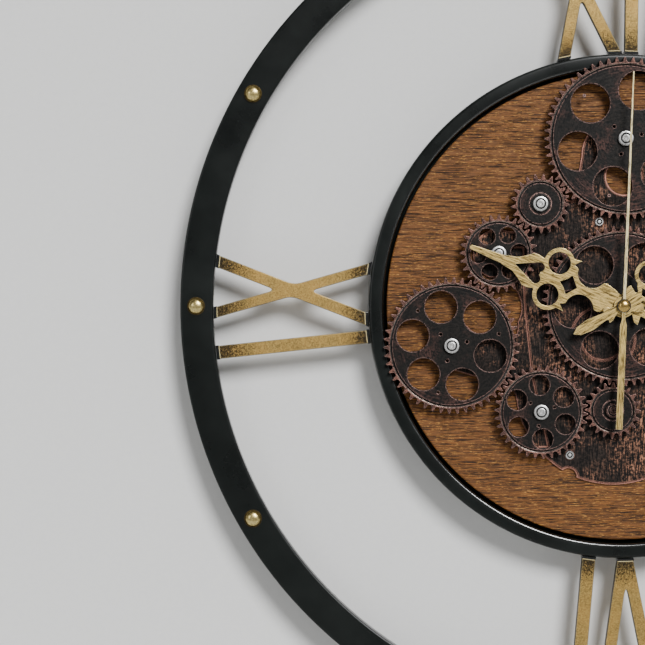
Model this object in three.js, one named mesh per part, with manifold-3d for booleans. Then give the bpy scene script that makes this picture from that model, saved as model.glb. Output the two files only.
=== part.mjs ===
// Round wall clock with an openwork dial: a flat outer ring, Roman numeral bars that carry a
// drum-shaped rim, and a wooden dial board with a train of turning gears behind three hands.
//
// The clock is drawn in its dial frame: X to the viewer's right, Y up, Z off the wall towards
// the viewer, with Z = 0 on the wall. The last lines turn it so that its front faces -Y.
// Lengths are millimetres and angles are degrees.
import * as THREE from 'three';
import { mergeVertices } from 'three/addons/utils/BufferGeometryUtils.js';
import Module from 'manifold-3d';

const wasm = await Module();
wasm.setup();

// ---- driving dimensions -------------------------------------------------------------------
const GAP = 0.3; // between pieces that touch

const SHEET = 1.5; // the ring and the rim are channels folded from steel sheet, open at the back
const RING = { outer: 300, inner: 277.5, back: 16, front: 28, segments: 64 };
const RIVET = { count: 12, circle: 289, radius: 6, height: 3.2, shank: 2, shankLength: 6 };
const RIM = { outer: 171.6, inner: 161.7, front: 29, ledge: 154, ledgeDepth: 2.2, segments: 64 };
const BOARD = { radius: 159.3, back: 18, front: 24, segments: 60 };
const NUMERAL = { back: 19, front: 25 };

const PLATE = { back: BOARD.front + GAP, front: 26.8, boss: 8, bossFront: 29.5 };
const GEAR = { back: 29.8, front: 33.8 };
const TOOTH = { module: 1.8, addendum: 1.3, dedendum: 2.2, tipWidth: 1.1, rootWidth: 3.2 };
const ARBOR = { spigot: 2, collar: 4.5, pivot: 2.6, bore: 2.9, cap: 5.2, capHeight: 2.4 };
const SCREW = { head: 3, headHeight: 1.5, shank: 1.5, length: 7 };

const STEM = { outer: 4.9, inner: 3.2, front: 36.6, blindEnd: 6 };
const GEAR_BORE = 5.4; // the centre gear turns round the fixed stem
const NUT = { acrossCorners: 13.6, back: 34.4, front: 36.4 };
const HOUR_PIPE = { outer: 2.9, inner: 2.1, back: 7, front: 40.4 };
const MINUTE_PIPE = { outer: 1.8, inner: 1.1, back: 7, front: 43.4 };
const HAND_THICKNESS = 1.2;
const HOUR_HAND_BACK = 39;
const MINUTE_HAND_BACK = 42;
const SECOND = { back: 45, thickness: 0.8, front: 158, tail: 83.4, pin: 0.8, pinBack: 41.5 };
const SECOND_CAP = { radius: 4.2, height: 1.6 };
const HAND_HEADINGS = { hour: 291.25, minute: 60.5, second: 2.35 }; // clockwise from twelve

const MOVEMENT = { side: 56, corner: 6, back: 0, front: BOARD.back - GAP };
const KNOB = { x: 14, y: 13, radius: 6.5, back: 0.8, front: 5.2, shaft: 1.6, shaftEnd: 9 };
const CELL = { radius: 7.1, body: 48.5, nubRadius: 2.7, nubLength: 1.3 };
const CELL_BAY = { length: 51, width: 15.4, y: -17, frontWall: 1.3 };
const MOTOR_CASE = { width: 46, height: 62, back: 0.9, frontWall: 0.8, shaftFromCentre: 6 };
const COVER = { width: 17.9, height: 53.9, thickness: 1.2 };
const HANGER = { low: 118, high: 140, foot: 48, hat: 36, thickness: 1.5, back: 0.5 };
const KEYHOLE = { y: 125, radius: 5, slotWidth: 4.4, slotTop: 134 };

// The gear train. Each gear meshes with the one it is listed after; "bearing" is the direction
// from that gear's axis to its own, anticlockwise from +X.
const TRAIN = [
  { name: 'centre', teeth: 59, holes: { count: 6, radius: 12.7, circle: 33.4, phase: 3.5 } },
  { name: 'low', teeth: 20, from: 'centre', bearing: 265.1 },
  { name: 'low_left', teeth: 34, from: 'low', bearing: 181.3,
    holes: { count: 6, radius: 6.8, circle: 18.4, phase: 33.5 } },
  { name: 'left', teeth: 50, from: 'low_left', bearing: 143.5,
    holes: { count: 6, radius: 10.9, circle: 27.2, phase: 45.5 } },
  { name: 'upper_left', teeth: 28, from: 'left', bearing: 63,
    holes: { count: 6, radius: 5.4, circle: 13.9, phase: 4 } },
  { name: 'upper_idler', teeth: 21, from: 'upper_left', bearing: 50 },
  { name: 'top', teeth: 60, from: 'upper_idler', bearing: 37.5,
    holes: { count: 6, radius: 13.2, circle: 33.7, phase: 15 } },
  { name: 'upper_right', teeth: 22, from: 'top', bearing: -33 },
  { name: 'right', teeth: 40, from: 'upper_right', bearing: -50,
    holes: { count: 6, radius: 8, circle: 21.5, phase: 20 } },
  { name: 'low_right', teeth: 46, from: 'right', bearing: -100,
    holes: { count: 6, radius: 9.6, circle: 25, phase: 10 } },
];
const MOTOR_GEAR = 'low_right';
const DARK_ARBOR = 'low'; // its cap is bronze like the gears; the other caps are bright steel

// ---- materials ----------------------------------------------------------------------------
const material = (color, roughness, metalness) =>
  new THREE.MeshStandardMaterial({ color, roughness, metalness });
const BLACK_STEEL = material(0x1e2422, 0.55, 0.3);
const OAK = material(0x966432, 0.6, 0);
const BRONZE = material(0x3c302c, 0.5, 0.8);
const GOLD = material(0xc6a661, 0.38, 1);
const BRASS = material(0xc9a552, 0.3, 1);
const STEEL = material(0xc8c8c4, 0.25, 1);
const DARK_PLASTIC = material(0x17181a, 0.6, 0);
const CELL_JACKET = material(0x34404c, 0.4, 0.2);

// ---- outlines -----------------------------------------------------------------------------
const radians = THREE.MathUtils.degToRad;
const polar = (radius, degrees) => [
  radius * Math.cos(radians(degrees)),
  radius * Math.sin(radians(degrees)),
];
const shifted = (points, x, y) => points.map((point) => [point[0] + x, point[1] + y]);

// Points of an arc, both ends included.
function arc(x, y, radius, start, end, steps) {
  const points = [];
  for (let i = 0; i <= steps; i += 1) {
    points.push(polar(radius, start + ((end - start) * i) / steps));
  }
  return shifted(points, x, y);
}

const circle = (x, y, radius, steps) => arc(x, y, radius, 0, 360, steps).slice(0, steps);

const rectangle = (x0, y0, x1, y1) => [[x0, y0], [x1, y0], [x1, y1], [x0, y1]];

// The tangent outline round two circles, as of a strap with round ends.
function strap(x0, y0, r0, x1, y1, r1) {
  const heading = THREE.MathUtils.radToDeg(Math.atan2(y1 - y0, x1 - x0));
  const spread = THREE.MathUtils.radToDeg(Math.acos((r0 - r1) / Math.hypot(x1 - x0, y1 - y0)));
  return [
    ...arc(x1, y1, r1, heading - spread, heading + spread, 7),
    ...arc(x0, y0, r0, heading + spread, heading + 360 - spread, 10),
  ];
}

// ---- solids -------------------------------------------------------------------------------
function toSolid(geometry) {
  const bare = geometry.clone();
  bare.deleteAttribute('normal');
  bare.deleteAttribute('uv');
  const merged = mergeVertices(bare, 1e-4);
  return new wasm.Manifold(new wasm.Mesh({
    numProp: 3,
    vertProperties: new Float32Array(merged.attributes.position.array),
    triVerts: new Uint32Array(merged.index.array),
  }));
}

function toGeometry(solid) {
  const mesh = solid.getMesh();
  const geometry = new THREE.BufferGeometry();
  geometry.setAttribute('position', new THREE.BufferAttribute(mesh.vertProperties, 3));
  geometry.setIndex(new THREE.BufferAttribute(mesh.triVerts, 1));
  return geometry;
}

// A flat outline, raised from z0 to z1.
function slab(outline, z0, z1) {
  const shape = new THREE.Shape(outline.map((point) => new THREE.Vector2(...point)));
  const geometry = new THREE.ExtrudeGeometry(shape, { depth: z1 - z0, bevelEnabled: false });
  geometry.translate(0, 0, z0);
  return toSolid(geometry);
}

// A profile of [radius, z] points, closed on itself or on the axis, turned about Z at (x, y).
function turned(profile, segments, x = 0, y = 0) {
  const points = profile.map((point) => new THREE.Vector2(...point));
  const geometry = new THREE.LatheGeometry(points, segments);
  geometry.rotateX(Math.PI / 2);
  geometry.translate(x, y, 0);
  return toSolid(geometry);
}

const closed = (profile) => [...profile, profile[0]];
const tube = (outer, inner, z0, z1, segments, x = 0, y = 0) =>
  turned(closed([[inner, z0], [outer, z0], [outer, z1], [inner, z1]]), segments, x, y);
const joined = (solids) => solids.reduce((whole, solid) => whole.add(solid));
const cut = (solid, tools) => tools.reduce((rest, tool) => rest.subtract(tool), solid);

const clock = new THREE.Group();

function addPiece(name, solid, finish, parent = clock) {
  const mesh = new THREE.Mesh(toGeometry(solid), finish);
  mesh.name = name;
  parent.add(mesh);
  return mesh;
}

// ---- ring, rivets and rim -----------------------------------------------------------------
const rivetAngles = Array.from({ length: RIVET.count }, (_, i) => 90 - (i * 360) / RIVET.count);

function outerRing() {
  const { outer, inner, back, front, segments } = RING;
  const ring = turned(closed([
    [inner, back],
    [inner + SHEET, back],
    [inner + SHEET, front - SHEET],
    [outer - SHEET, front - SHEET],
    [outer - SHEET, back],
    [outer, back],
    [outer, front],
    [inner, front],
  ]), segments);
  const bores = rivetAngles.map((angle) =>
    slab(circle(...polar(RIVET.circle, angle), RIVET.shank + GAP, 6), back - 1, front + 1));
  return cut(ring, bores);
}

function rivet(angle) {
  const seat = RING.front + GAP;
  const profile = [
    [0, seat - RIVET.shankLength],
    [RIVET.shank, seat - RIVET.shankLength],
    [RIVET.shank, seat],
    [RIVET.radius, seat],
    [RIVET.radius * 0.65, seat + RIVET.height * 0.8],
    [0, seat + RIVET.height],
  ];
  return turned(profile, 8, ...polar(RIVET.circle, angle));
}

function innerRim() {
  const { outer, inner, front, ledge, ledgeDepth, segments } = RIM;
  const ledgeFront = BOARD.back - GAP;
  return turned(closed([
    [inner, 0],
    [inner + SHEET, 0],
    [inner + SHEET, front - SHEET],
    [outer - SHEET, front - SHEET],
    [outer - SHEET, 0],
    [outer, 0],
    [outer, front],
    [inner, front],
    [inner, ledgeFront],
    [ledge, ledgeFront],
    [ledge, ledgeFront - ledgeDepth],
    [inner, ledgeFront - ledgeDepth],
  ]), segments);
}

addPiece('outer_ring', outerRing(), BLACK_STEEL);
rivetAngles.forEach((angle, i) => {
  addPiece(`rivet_${String(i + 1).padStart(2, '0')}`, rivet(angle), BRASS);
});
addPiece('inner_rim', innerRim(), BLACK_STEEL);

// ---- numerals -----------------------------------------------------------------------------
// A stroke runs from the rim to the ring: its middle is at "foot" sideways on the rim and at
// "head" on the ring, both clockwise from the numeral's own radius.
const NUMERALS = [
  { name: 'twelve_x', heading: 0,
    strokes: [{ foot: -37.6, head: -17.7, width: 8 }, { foot: -2.9, head: -56, width: 8 }] },
  { name: 'twelve_first_i', heading: 0, strokes: [{ foot: 7.6, head: 9, width: 9 }] },
  { name: 'twelve_second_i', heading: 0, strokes: [{ foot: 29, head: 43, width: 9 }] },
  { name: 'three_first_i', heading: 90, strokes: [{ foot: -22, head: -32, width: 9 }] },
  { name: 'three_second_i', heading: 90, strokes: [{ foot: 0, head: 0, width: 9 }] },
  { name: 'three_third_i', heading: 90, strokes: [{ foot: 22, head: 32, width: 9 }] },
  { name: 'six_v', heading: 180,
    strokes: [{ foot: -2.4, head: 12.7, width: 8 }, { foot: -4.6, head: -26, width: 8 }] },
  { name: 'six_i', heading: 180, strokes: [{ foot: 21.3, head: 30.7, width: 9 }] },
  { name: 'nine_i', heading: 270, strokes: [{ foot: -20.8, head: -32, width: 9 }] },
  { name: 'nine_x', heading: 270,
    strokes: [{ foot: -9.4, head: 31.8, width: 8.1 }, { foot: 25.4, head: -4.8, width: 7.2 }] },
];

function stroke({ foot, head, width }) {
  const low = new THREE.Vector2(foot, RIM.outer);
  const high = new THREE.Vector2(head, RING.inner);
  const along = high.clone().sub(low).normalize().multiplyScalar(14);
  const side = new THREE.Vector2(-along.y, along.x).setLength(width / 2);
  low.sub(along);
  high.add(along);
  return slab([
    [low.x - side.x, low.y - side.y],
    [high.x - side.x, high.y - side.y],
    [high.x + side.x, high.y + side.y],
    [low.x + side.x, low.y + side.y],
  ].reverse(), NUMERAL.back, NUMERAL.front);
}

const numeralZone = tube(RING.inner - GAP, RIM.outer + GAP, 0, RING.front, RING.segments);
for (const { name, heading, strokes } of NUMERALS) {
  const bars = joined(strokes.map(stroke)).rotate([0, 0, -heading]);
  addPiece(`numeral_${name}`, bars.intersect(numeralZone), GOLD);
}

// ---- gear train layout --------------------------------------------------------------------
const pitchRadius = (gear) => (TOOTH.module * gear.teeth) / 2;

// Sets each gear's axis and the angle of its first tooth, so that a tooth of one gear stands in
// a gap of the next.
function layOut(train) {
  const placed = new Map();
  for (const gear of train) {
    if (gear.from) {
      const driver = placed.get(gear.from);
      const distance = pitchRadius(driver) + pitchRadius(gear);
      const [dx, dy] = polar(distance, gear.bearing);
      const pitchesPast = ((gear.bearing - driver.toothAngle) * driver.teeth) / 360;
      gear.x = driver.x + dx;
      gear.y = driver.y + dy;
      gear.toothAngle = gear.bearing + 180 - (360 / gear.teeth) * (0.5 - pitchesPast);
    } else {
      gear.x = 0;
      gear.y = 0;
      gear.toothAngle = 90;
    }
    placed.set(gear.name, gear);
  }
  return placed;
}

const gears = layOut(TRAIN);
const motorGear = gears.get(MOTOR_GEAR);
const onArbors = TRAIN.filter((gear) => gear.from);

// ---- dial board and base plate ------------------------------------------------------------
const SCREW_SPOTS = [[-34.7, -101.4], [-14.6, 57.4]];
const MOTOR_BORE = ARBOR.pivot + 0.9; // the motor's shaft turns freely in it

function dialBoard() {
  const { radius, back, front, segments } = BOARD;
  const bore = (x, y, r) => slab(circle(x, y, r, 10), back - 1, front + 1);
  return cut(slab(circle(0, 0, radius, segments), back, front), [
    bore(0, 0, GEAR_BORE),
    bore(motorGear.x, motorGear.y, MOTOR_BORE),
    ...SCREW_SPOTS.map((spot) => bore(...spot, SCREW.shank + GAP)),
  ]);
}

// Arms of the base plate: each is a strap from its root [x, y, radius] out to an arbor.
const LOBES = [
  { gear: 'upper_idler', radius: 14, root: [0, 0, 42] },
  { gear: 'upper_left', radius: 17, root: [0, 0, 50] },
  { gear: 'left', radius: 15.5, root: [-50, -44, 18] },
  { gear: 'upper_right', radius: 14, root: [0, 0, 44] },
  { gear: 'right', radius: 17, root: [0, 0, 50] },
  { gear: 'low_right', radius: 20, root: [0, -12, 46] },
];
// The arm behind the top gear ends below that gear's axis, so that only its side shows.
const TOP_ARM = { root: [0, 36, 38], end: [-1, 103, 25.5] };
// Round parts of the plate, then the round spaces cut from it.
const LOW_LOBE = { x: -4.8, y: -55.1, radius: 66.7 };
const LEFT_LOBE = { x: -22, y: -15, radius: 48 };
const BITE = { x: -88, y: -1, radius: 20.5 };
const NOTCH = { x: -35.5, y: -116.2, radius: 5.6 };
const WINDOW = { x: 2.4, y: 88.1, radius: 12 };

function basePlate() {
  const { back, front, boss, bossFront } = PLATE;
  const flat = (outline) => slab(outline, back, front);
  const bore = (x, y, radius, steps) => slab(circle(x, y, radius, steps), back - 1, bossFront + 1);
  const lobes = LOBES.map(({ gear, radius, root }) => {
    const { x, y } = gears.get(gear);
    return flat(strap(...root, x, y, radius));
  });
  const sheet = joined([
    flat(circle(LOW_LOBE.x, LOW_LOBE.y, LOW_LOBE.radius, 36)),
    flat(circle(LEFT_LOBE.x, LEFT_LOBE.y, LEFT_LOBE.radius, 30)),
    flat(strap(...TOP_ARM.root, ...TOP_ARM.end)),
    slab(circle(0, 0, boss, 16), back, bossFront),
    ...lobes,
  ]);
  return cut(sheet, [
    bore(BITE.x, BITE.y, BITE.radius, 24),
    bore(NOTCH.x, NOTCH.y, NOTCH.radius, 12),
    bore(WINDOW.x, WINDOW.y, WINDOW.radius, 18),
    bore(0, 0, GEAR_BORE, 12),
    bore(motorGear.x, motorGear.y, MOTOR_BORE, 10),
    ...onArbors.filter((gear) => gear !== motorGear)
      .map((gear) => bore(gear.x, gear.y, ARBOR.spigot + GAP, 8)),
    ...SCREW_SPOTS.map((spot) => bore(...spot, SCREW.shank + GAP, 8)),
  ]);
}

function plateScrew(x, y) {
  const seat = PLATE.front + GAP;
  const { head, headHeight, shank, length } = SCREW;
  return turned([
    [0, seat - length],
    [shank, seat - length],
    [shank, seat],
    [head, seat],
    [head, seat + headHeight * 0.6],
    [head * 0.75, seat + headHeight],
    [0, seat + headHeight],
  ], 8, x, y);
}

addPiece('dial_board', dialBoard(), OAK);
addPiece('base_plate', basePlate(), BRONZE);
SCREW_SPOTS.forEach((spot, i) => addPiece(`plate_screw_${i + 1}`, plateScrew(...spot), STEEL));

// ---- gears and arbors ---------------------------------------------------------------------
function toothedOutline({ teeth, toothAngle }) {
  const pitch = (TOOTH.module * teeth) / 2;
  const corners = [
    [pitch - TOOTH.dedendum, -TOOTH.rootWidth / 2],
    [pitch + TOOTH.addendum, -TOOTH.tipWidth / 2],
    [pitch + TOOTH.addendum, TOOTH.tipWidth / 2],
    [pitch - TOOTH.dedendum, TOOTH.rootWidth / 2],
  ];
  const points = [];
  for (let i = 0; i < teeth; i += 1) {
    const middle = toothAngle + (360 * i) / teeth;
    for (const [radius, offset] of corners) {
      points.push(polar(radius, middle + THREE.MathUtils.radToDeg(offset / radius)));
    }
  }
  return points;
}

function gearSolid(gear) {
  const bore = gear.from ? ARBOR.bore : GEAR_BORE;
  const through = (x, y, radius, steps) =>
    slab(circle(x, y, radius, steps), GEAR.back - 1, GEAR.front + 1);
  const tools = [through(0, 0, bore, 10)];
  if (gear.holes) {
    const { count, radius, circle: holeCircle, phase } = gear.holes;
    for (let i = 0; i < count; i += 1) {
      tools.push(through(...polar(holeCircle, phase + (360 * i) / count), radius, 10));
    }
  }
  const blank = slab(toothedOutline(gear), GEAR.back, GEAR.front);
  return cut(blank, tools).translate([gear.x, gear.y, 0]);
}

const capBack = GEAR.front + GAP;
const capProfile = [
  [ARBOR.cap, capBack],
  [ARBOR.cap, capBack + ARBOR.capHeight * 0.7],
  [ARBOR.cap * 0.8, capBack + ARBOR.capHeight],
  [0, capBack + ARBOR.capHeight],
];

// A fixed arbor: riveted into the base plate, with a collar under its gear and a cap over it.
const arbor = ({ x, y }) => turned([
  [0, PLATE.back + 0.1],
  [ARBOR.spigot, PLATE.back + 0.1],
  [ARBOR.spigot, PLATE.front + GAP],
  [ARBOR.collar, PLATE.front + GAP],
  [ARBOR.collar, GEAR.back - GAP],
  [ARBOR.pivot, GEAR.back - GAP],
  [ARBOR.pivot, capBack],
  ...capProfile,
], 8, x, y);

// The motor's shaft turns with its gear and reaches back into the motor case.
const motorShaft = ({ x, y }) => turned([
  [0, 8],
  [ARBOR.pivot, 8],
  [ARBOR.pivot, capBack],
  ...capProfile,
], 8, x, y);

for (const gear of TRAIN) {
  addPiece(`gear_${gear.name}`, gearSolid(gear), BRONZE);
}
for (const gear of onArbors) {
  const isDriven = gear === motorGear;
  addPiece(isDriven ? 'motor_shaft' : `arbor_${gear.name}`,
    isDriven ? motorShaft(gear) : arbor(gear), gear.name === DARK_ARBOR ? BRONZE : STEEL);
}

// ---- hands --------------------------------------------------------------------------------
// A hand is drawn along +Y with its pivot at the origin. The hour and the minute hand share one
// openwork pattern: a leaf-shaped tail with barbs, a fan, a pair of rings and a forked blade.
const HOUR_PATTERN = {
  hub: 8, bore: HOUR_PIPE.outer + GAP, tail: 32, tailWidth: 6.4, barb: [-12.4, 8.6],
  fan: [15.9, 10], neck: [28, 3.2], spike: [36.3, 18],
  ring: { along: 50.6, aside: 11.3, outer: 10.4, inner: 7.5 },
  diamond: [33.5, 39, 46.6, 6.1], fork: [69.5, 10.8], slitTip: 78.5, tip: 111, tipWidth: 1.9,
};
const MINUTE_PATTERN = {
  hub: 6.5, bore: MINUTE_PIPE.outer + GAP, tail: 39.3, tailWidth: 8.4, barb: [-12.3, 5.5],
  fan: [10.1, 9.9], neck: [12.2, 3.4], spike: [36.5, 19.5],
  ring: { along: 25, aside: 10, outer: 9.4, inner: 6.7 },
  diamond: [14, 16.8, 21.2, 4.2], fork: [40.5, 10.6], slitTip: 51, tip: 152, tipWidth: 1.6,
};

const mirrored = (half) => [
  ...half,
  ...half.filter((point) => point[0] > 0).reverse().map(([x, y]) => [-x, y]),
];

// Outlines below list their right half from the lowest point to the highest.
function ornateHand(pattern, back) {
  const { hub, bore, tail, tailWidth, barb, fan, neck, spike, ring, diamond, fork } = pattern;
  const { slitTip, tip, tipWidth } = pattern;
  const front = back + HAND_THICKNESS;
  const flat = (outline) => slab(outline, back, front);
  const through = (outline) => slab(outline, back - 1, front + 1);
  const shoulder = ring.along + ring.outer * 0.85;
  const leaf = mirrored([
    [0, -tail], [tailWidth * 0.36, -tail * 0.88], [tailWidth / 2, -tail * 0.66],
    [tailWidth * 0.34, -tail * 0.42], [tailWidth * 0.3, -4], [0, -2],
  ]);
  const barbs = mirrored([[0, barb[0] - 1], [barb[1], barb[0] - 1.5], [barb[1] * 0.9, barb[0] + 1.6],
    [2.5, barb[0] + 5], [0, barb[0] + 6]]);
  const body = mirrored([
    [0, 2], [6, 5], [fan[1] * 0.75, fan[0] * 0.6], [fan[1], fan[0]],
    [neck[1] * 1.6, (fan[0] + neck[0]) / 2], [neck[1], neck[0]],
    [diamond[3] + 2.2, diamond[1]], [ring.aside, ring.along - ring.outer + 1.5],
    [ring.aside, shoulder], [fork[1] + 1, fork[0] - 4], [fork[1], fork[0]],
    [fork[1] * 0.5, (fork[0] + slitTip) / 2 + 1], [3, slitTip + 3], [tipWidth + 0.6, slitTip + 10],
    [tipWidth, tip - 1], [0, tip],
  ]);
  const toward = Math.sign(spike[0] - ring.along);
  const spikeShape = [
    [ring.aside, ring.along + toward * (ring.outer - 2.5)], [spike[1], spike[0]],
    [ring.aside + 5.5, ring.along + toward * ring.outer * 0.7],
  ];
  const rings = [-1, 1].map((side) => flat(circle(side * ring.aside, ring.along, ring.outer, 24)));
  const eyes = [-1, 1].map((side) => through(circle(side * ring.aside, ring.along, ring.inner, 20)));
  const spikes = [flat(spikeShape), flat(spikeShape.map(([x, y]) => [-x, y]).reverse())];
  const heartLow = ring.along + ring.outer;
  const heart = mirrored([
    [0, heartLow], [3, heartLow - 2], [6, heartLow - 1.5], [8, heartLow + 1.5],
    [7, heartLow + 5], [0, slitTip],
  ]);
  const gem = mirrored([[0, diamond[0]], [diamond[3], diamond[1]], [0, diamond[2]]]);
  const whole = joined([flat(circle(0, 0, hub, 20)), flat(leaf), flat(barbs), flat(body),
    ...rings, ...spikes]);
  return cut(whole, [through(circle(0, 0, bore, 12)), through(heart), through(gem), ...eyes]);
}

function secondHand() {
  const { back, thickness, front, tail, pin, pinBack } = SECOND;
  const blade = slab([[-1.3, 0], [1.3, 0], [0.5, front], [-0.5, front]], back, back + thickness);
  const counterweight = slab([
    [-2.3, -tail], [2.3, -tail], [2.3, -13], [1.2, -9], [1.2, 0], [-1.2, 0], [-1.2, -9], [-2.3, -13],
  ], back, back + thickness);
  const seat = back + thickness;
  const cap = turned([
    [0, pinBack], [pin, pinBack], [pin, back], [SECOND_CAP.radius, back],
    [SECOND_CAP.radius, seat + SECOND_CAP.height * 0.5],
    [SECOND_CAP.radius * 0.6, seat + SECOND_CAP.height], [0, seat + SECOND_CAP.height],
  ], 16);
  return joined([blade, counterweight, cap]);
}

const aimed = (solid, heading) => solid.rotate([0, 0, -heading]);
addPiece('hour_hand', aimed(ornateHand(HOUR_PATTERN, HOUR_HAND_BACK), HAND_HEADINGS.hour), GOLD);
addPiece('minute_hand',
  aimed(ornateHand(MINUTE_PATTERN, MINUTE_HAND_BACK), HAND_HEADINGS.minute), GOLD);
addPiece('second_hand', aimed(secondHand(), HAND_HEADINGS.second), GOLD);
for (const [name, pipe] of [['hour_pipe', HOUR_PIPE], ['minute_pipe', MINUTE_PIPE]]) {
  addPiece(name, tube(pipe.outer, pipe.inner, pipe.back, pipe.front, 12), BRASS);
}

function handNut() {
  const hexagon = slab(circle(0, 0, NUT.acrossCorners / 2, 6), NUT.back, NUT.front);
  return hexagon.subtract(slab(circle(0, 0, STEM.outer + GAP, 12), NUT.back - 1, NUT.front + 1));
}
addPiece('hand_nut', handNut(), BRASS);

// ---- movement, behind the dial board ------------------------------------------------------
function chamferedSquare(side, corner) {
  const outer = side / 2;
  const inner = outer - corner;
  return [
    [inner, -outer], [outer, -inner], [outer, inner], [inner, outer],
    [-inner, outer], [-outer, inner], [-outer, -inner], [-inner, -outer],
  ];
}

function movementCase() {
  const { side, corner, back, front } = MOVEMENT;
  const body = slab(chamferedSquare(side, corner), back, front);
  const stem = slab(circle(0, 0, STEM.outer, 16), front - 1, STEM.front);
  const half = CELL_BAY.length / 2;
  const low = CELL_BAY.y - CELL_BAY.width / 2;
  const high = CELL_BAY.y + CELL_BAY.width / 2;
  return cut(body.add(stem), [
    slab(circle(0, 0, STEM.inner, 12), STEM.blindEnd, STEM.front + 1),
    slab(rectangle(-half, low, half, high), back - 1, front - CELL_BAY.frontWall),
    slab(circle(KNOB.x, KNOB.y, KNOB.radius + 1, 16), back - 1, KNOB.front + GAP),
    slab(circle(KNOB.x, KNOB.y, KNOB.shaft + GAP, 8), back, KNOB.shaftEnd + GAP),
  ]);
}

const setKnob = () => turned([
  [0, KNOB.back], [KNOB.radius, KNOB.back], [KNOB.radius, KNOB.front],
  [KNOB.shaft, KNOB.front], [KNOB.shaft, KNOB.shaftEnd], [0, KNOB.shaftEnd],
], 16, KNOB.x, KNOB.y);

// A cell along +Z from its flat end, centred on its length.
function cell() {
  const { radius, body, nubRadius, nubLength } = CELL;
  const start = -(body + nubLength) / 2;
  return turned([
    [0, start], [radius, start], [radius, start + body], [nubRadius, start + body],
    [nubRadius, start + body + nubLength], [0, start + body + nubLength],
  ], 12);
}

addPiece('movement_case', movementCase(), DARK_PLASTIC);
addPiece('set_knob', setKnob(), DARK_PLASTIC);
const movementCellZ = MOVEMENT.back + GAP + CELL.radius;
addPiece('movement_cell',
  cell().rotate([0, 90, 0]).translate([0, CELL_BAY.y, movementCellZ]), CELL_JACKET);

// ---- gear motor, behind the dial board ----------------------------------------------------
const motorX = motorGear.x - MOTOR_CASE.shaftFromCentre;
const coverX = motorX - MOTOR_CASE.width / 2 + 2 + COVER.width / 2;
const coverBack = MOTOR_CASE.back;

const around = (x, y, width, height) =>
  rectangle(x - width / 2, y - height / 2, x + width / 2, y + height / 2);

function motorCase() {
  const { width, height, back, frontWall } = MOTOR_CASE;
  const front = MOVEMENT.front;
  const { y } = motorGear;
  return cut(slab(around(motorX, y, width, height), back, front), [
    slab(around(coverX, y, COVER.width + 2 * GAP, COVER.height + 2 * GAP),
      back - 1, coverBack + COVER.thickness + GAP),
    slab(around(coverX, y, CELL_BAY.width, CELL_BAY.length), back, front - frontWall),
    slab(circle(motorGear.x, y, ARBOR.pivot + 0.5, 10), 7, front + 1),
  ]);
}

function cellCover() {
  const { width, height, thickness } = COVER;
  return slab(around(coverX, motorGear.y, width, height), coverBack, coverBack + thickness);
}

addPiece('motor_case', motorCase(), DARK_PLASTIC);
addPiece('motor_cell_cover', cellCover(), DARK_PLASTIC);
const motorCellZ = coverBack + COVER.thickness + GAP + CELL.radius;
addPiece('motor_cell',
  cell().rotate([-90, 0, 0]).translate([coverX, motorGear.y, motorCellZ]), CELL_JACKET);

// ---- hanger -------------------------------------------------------------------------------
function hangerPlate() {
  const { low, high, foot, hat, thickness, back } = HANGER;
  const seat = BOARD.back - GAP;
  const section = [
    [-foot, seat - thickness], [-hat - thickness, seat - thickness], [-hat - thickness, back],
    [hat + thickness, back], [hat + thickness, seat - thickness], [foot, seat - thickness],
    [foot, seat], [hat, seat], [hat, back + thickness], [-hat, back + thickness], [-hat, seat],
    [-foot, seat],
  ];
  // The section is drawn in X and Z, so it is raised along Y.
  const bracket = slab(section, 0, high - low).rotate([90, 0, 0]).translate([0, high, 0]);
  const slot = rectangle(-KEYHOLE.slotWidth / 2, KEYHOLE.y, KEYHOLE.slotWidth / 2, KEYHOLE.slotTop);
  return cut(bracket, [
    slab(circle(0, KEYHOLE.y, KEYHOLE.radius, 14), back - 1, back + thickness + 1),
    slab(slot, back - 1, back + thickness + 1),
  ]);
}

addPiece('hanger_plate', hangerPlate(), STEEL);

// ---- whole clock: front to -Y, up to +Z ---------------------------------------------------
clock.rotation.x = Math.PI / 2;
const group = new THREE.Group();
group.add(clock);

export default group;
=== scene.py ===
"""Looks of a round skeleton wall clock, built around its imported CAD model.

Lengths are millimetres in the clock's dial frame: x to the viewer's right, y up and z off the
wall towards the viewer, with z = 0 on the wall. Piece.place() turns them into the row frame,
whose front is -Y and whose up is +Z, in metres. Angles are degrees, anticlockwise from +x.
"""
import math
from types import SimpleNamespace as Sizes

import bpy
import numpy as np
from mathutils import Matrix, Vector
from mathutils.geometry import tessellate_polygon


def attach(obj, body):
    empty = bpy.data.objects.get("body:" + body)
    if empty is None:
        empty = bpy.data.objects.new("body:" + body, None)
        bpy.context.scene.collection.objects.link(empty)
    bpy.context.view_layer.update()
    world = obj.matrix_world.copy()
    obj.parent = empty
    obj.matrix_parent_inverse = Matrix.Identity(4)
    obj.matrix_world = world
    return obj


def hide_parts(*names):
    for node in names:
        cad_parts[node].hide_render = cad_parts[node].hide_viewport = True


MM = 0.001
SHARP = math.radians(19)

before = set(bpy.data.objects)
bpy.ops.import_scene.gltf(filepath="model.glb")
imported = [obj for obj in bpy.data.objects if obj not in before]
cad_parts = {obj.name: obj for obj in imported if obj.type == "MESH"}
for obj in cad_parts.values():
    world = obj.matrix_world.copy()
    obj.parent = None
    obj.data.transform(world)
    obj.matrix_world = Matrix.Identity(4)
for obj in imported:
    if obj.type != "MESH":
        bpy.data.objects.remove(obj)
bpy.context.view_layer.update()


# ---- outlines ----
def polar(radius, degrees, x=0.0, y=0.0):
    angle = math.radians(degrees)
    return (x + radius * math.cos(angle), y + radius * math.sin(angle))


def circle(x, y, radius, steps=64):
    return [polar(radius, 360 * i / steps, x, y) for i in range(steps)]


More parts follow.
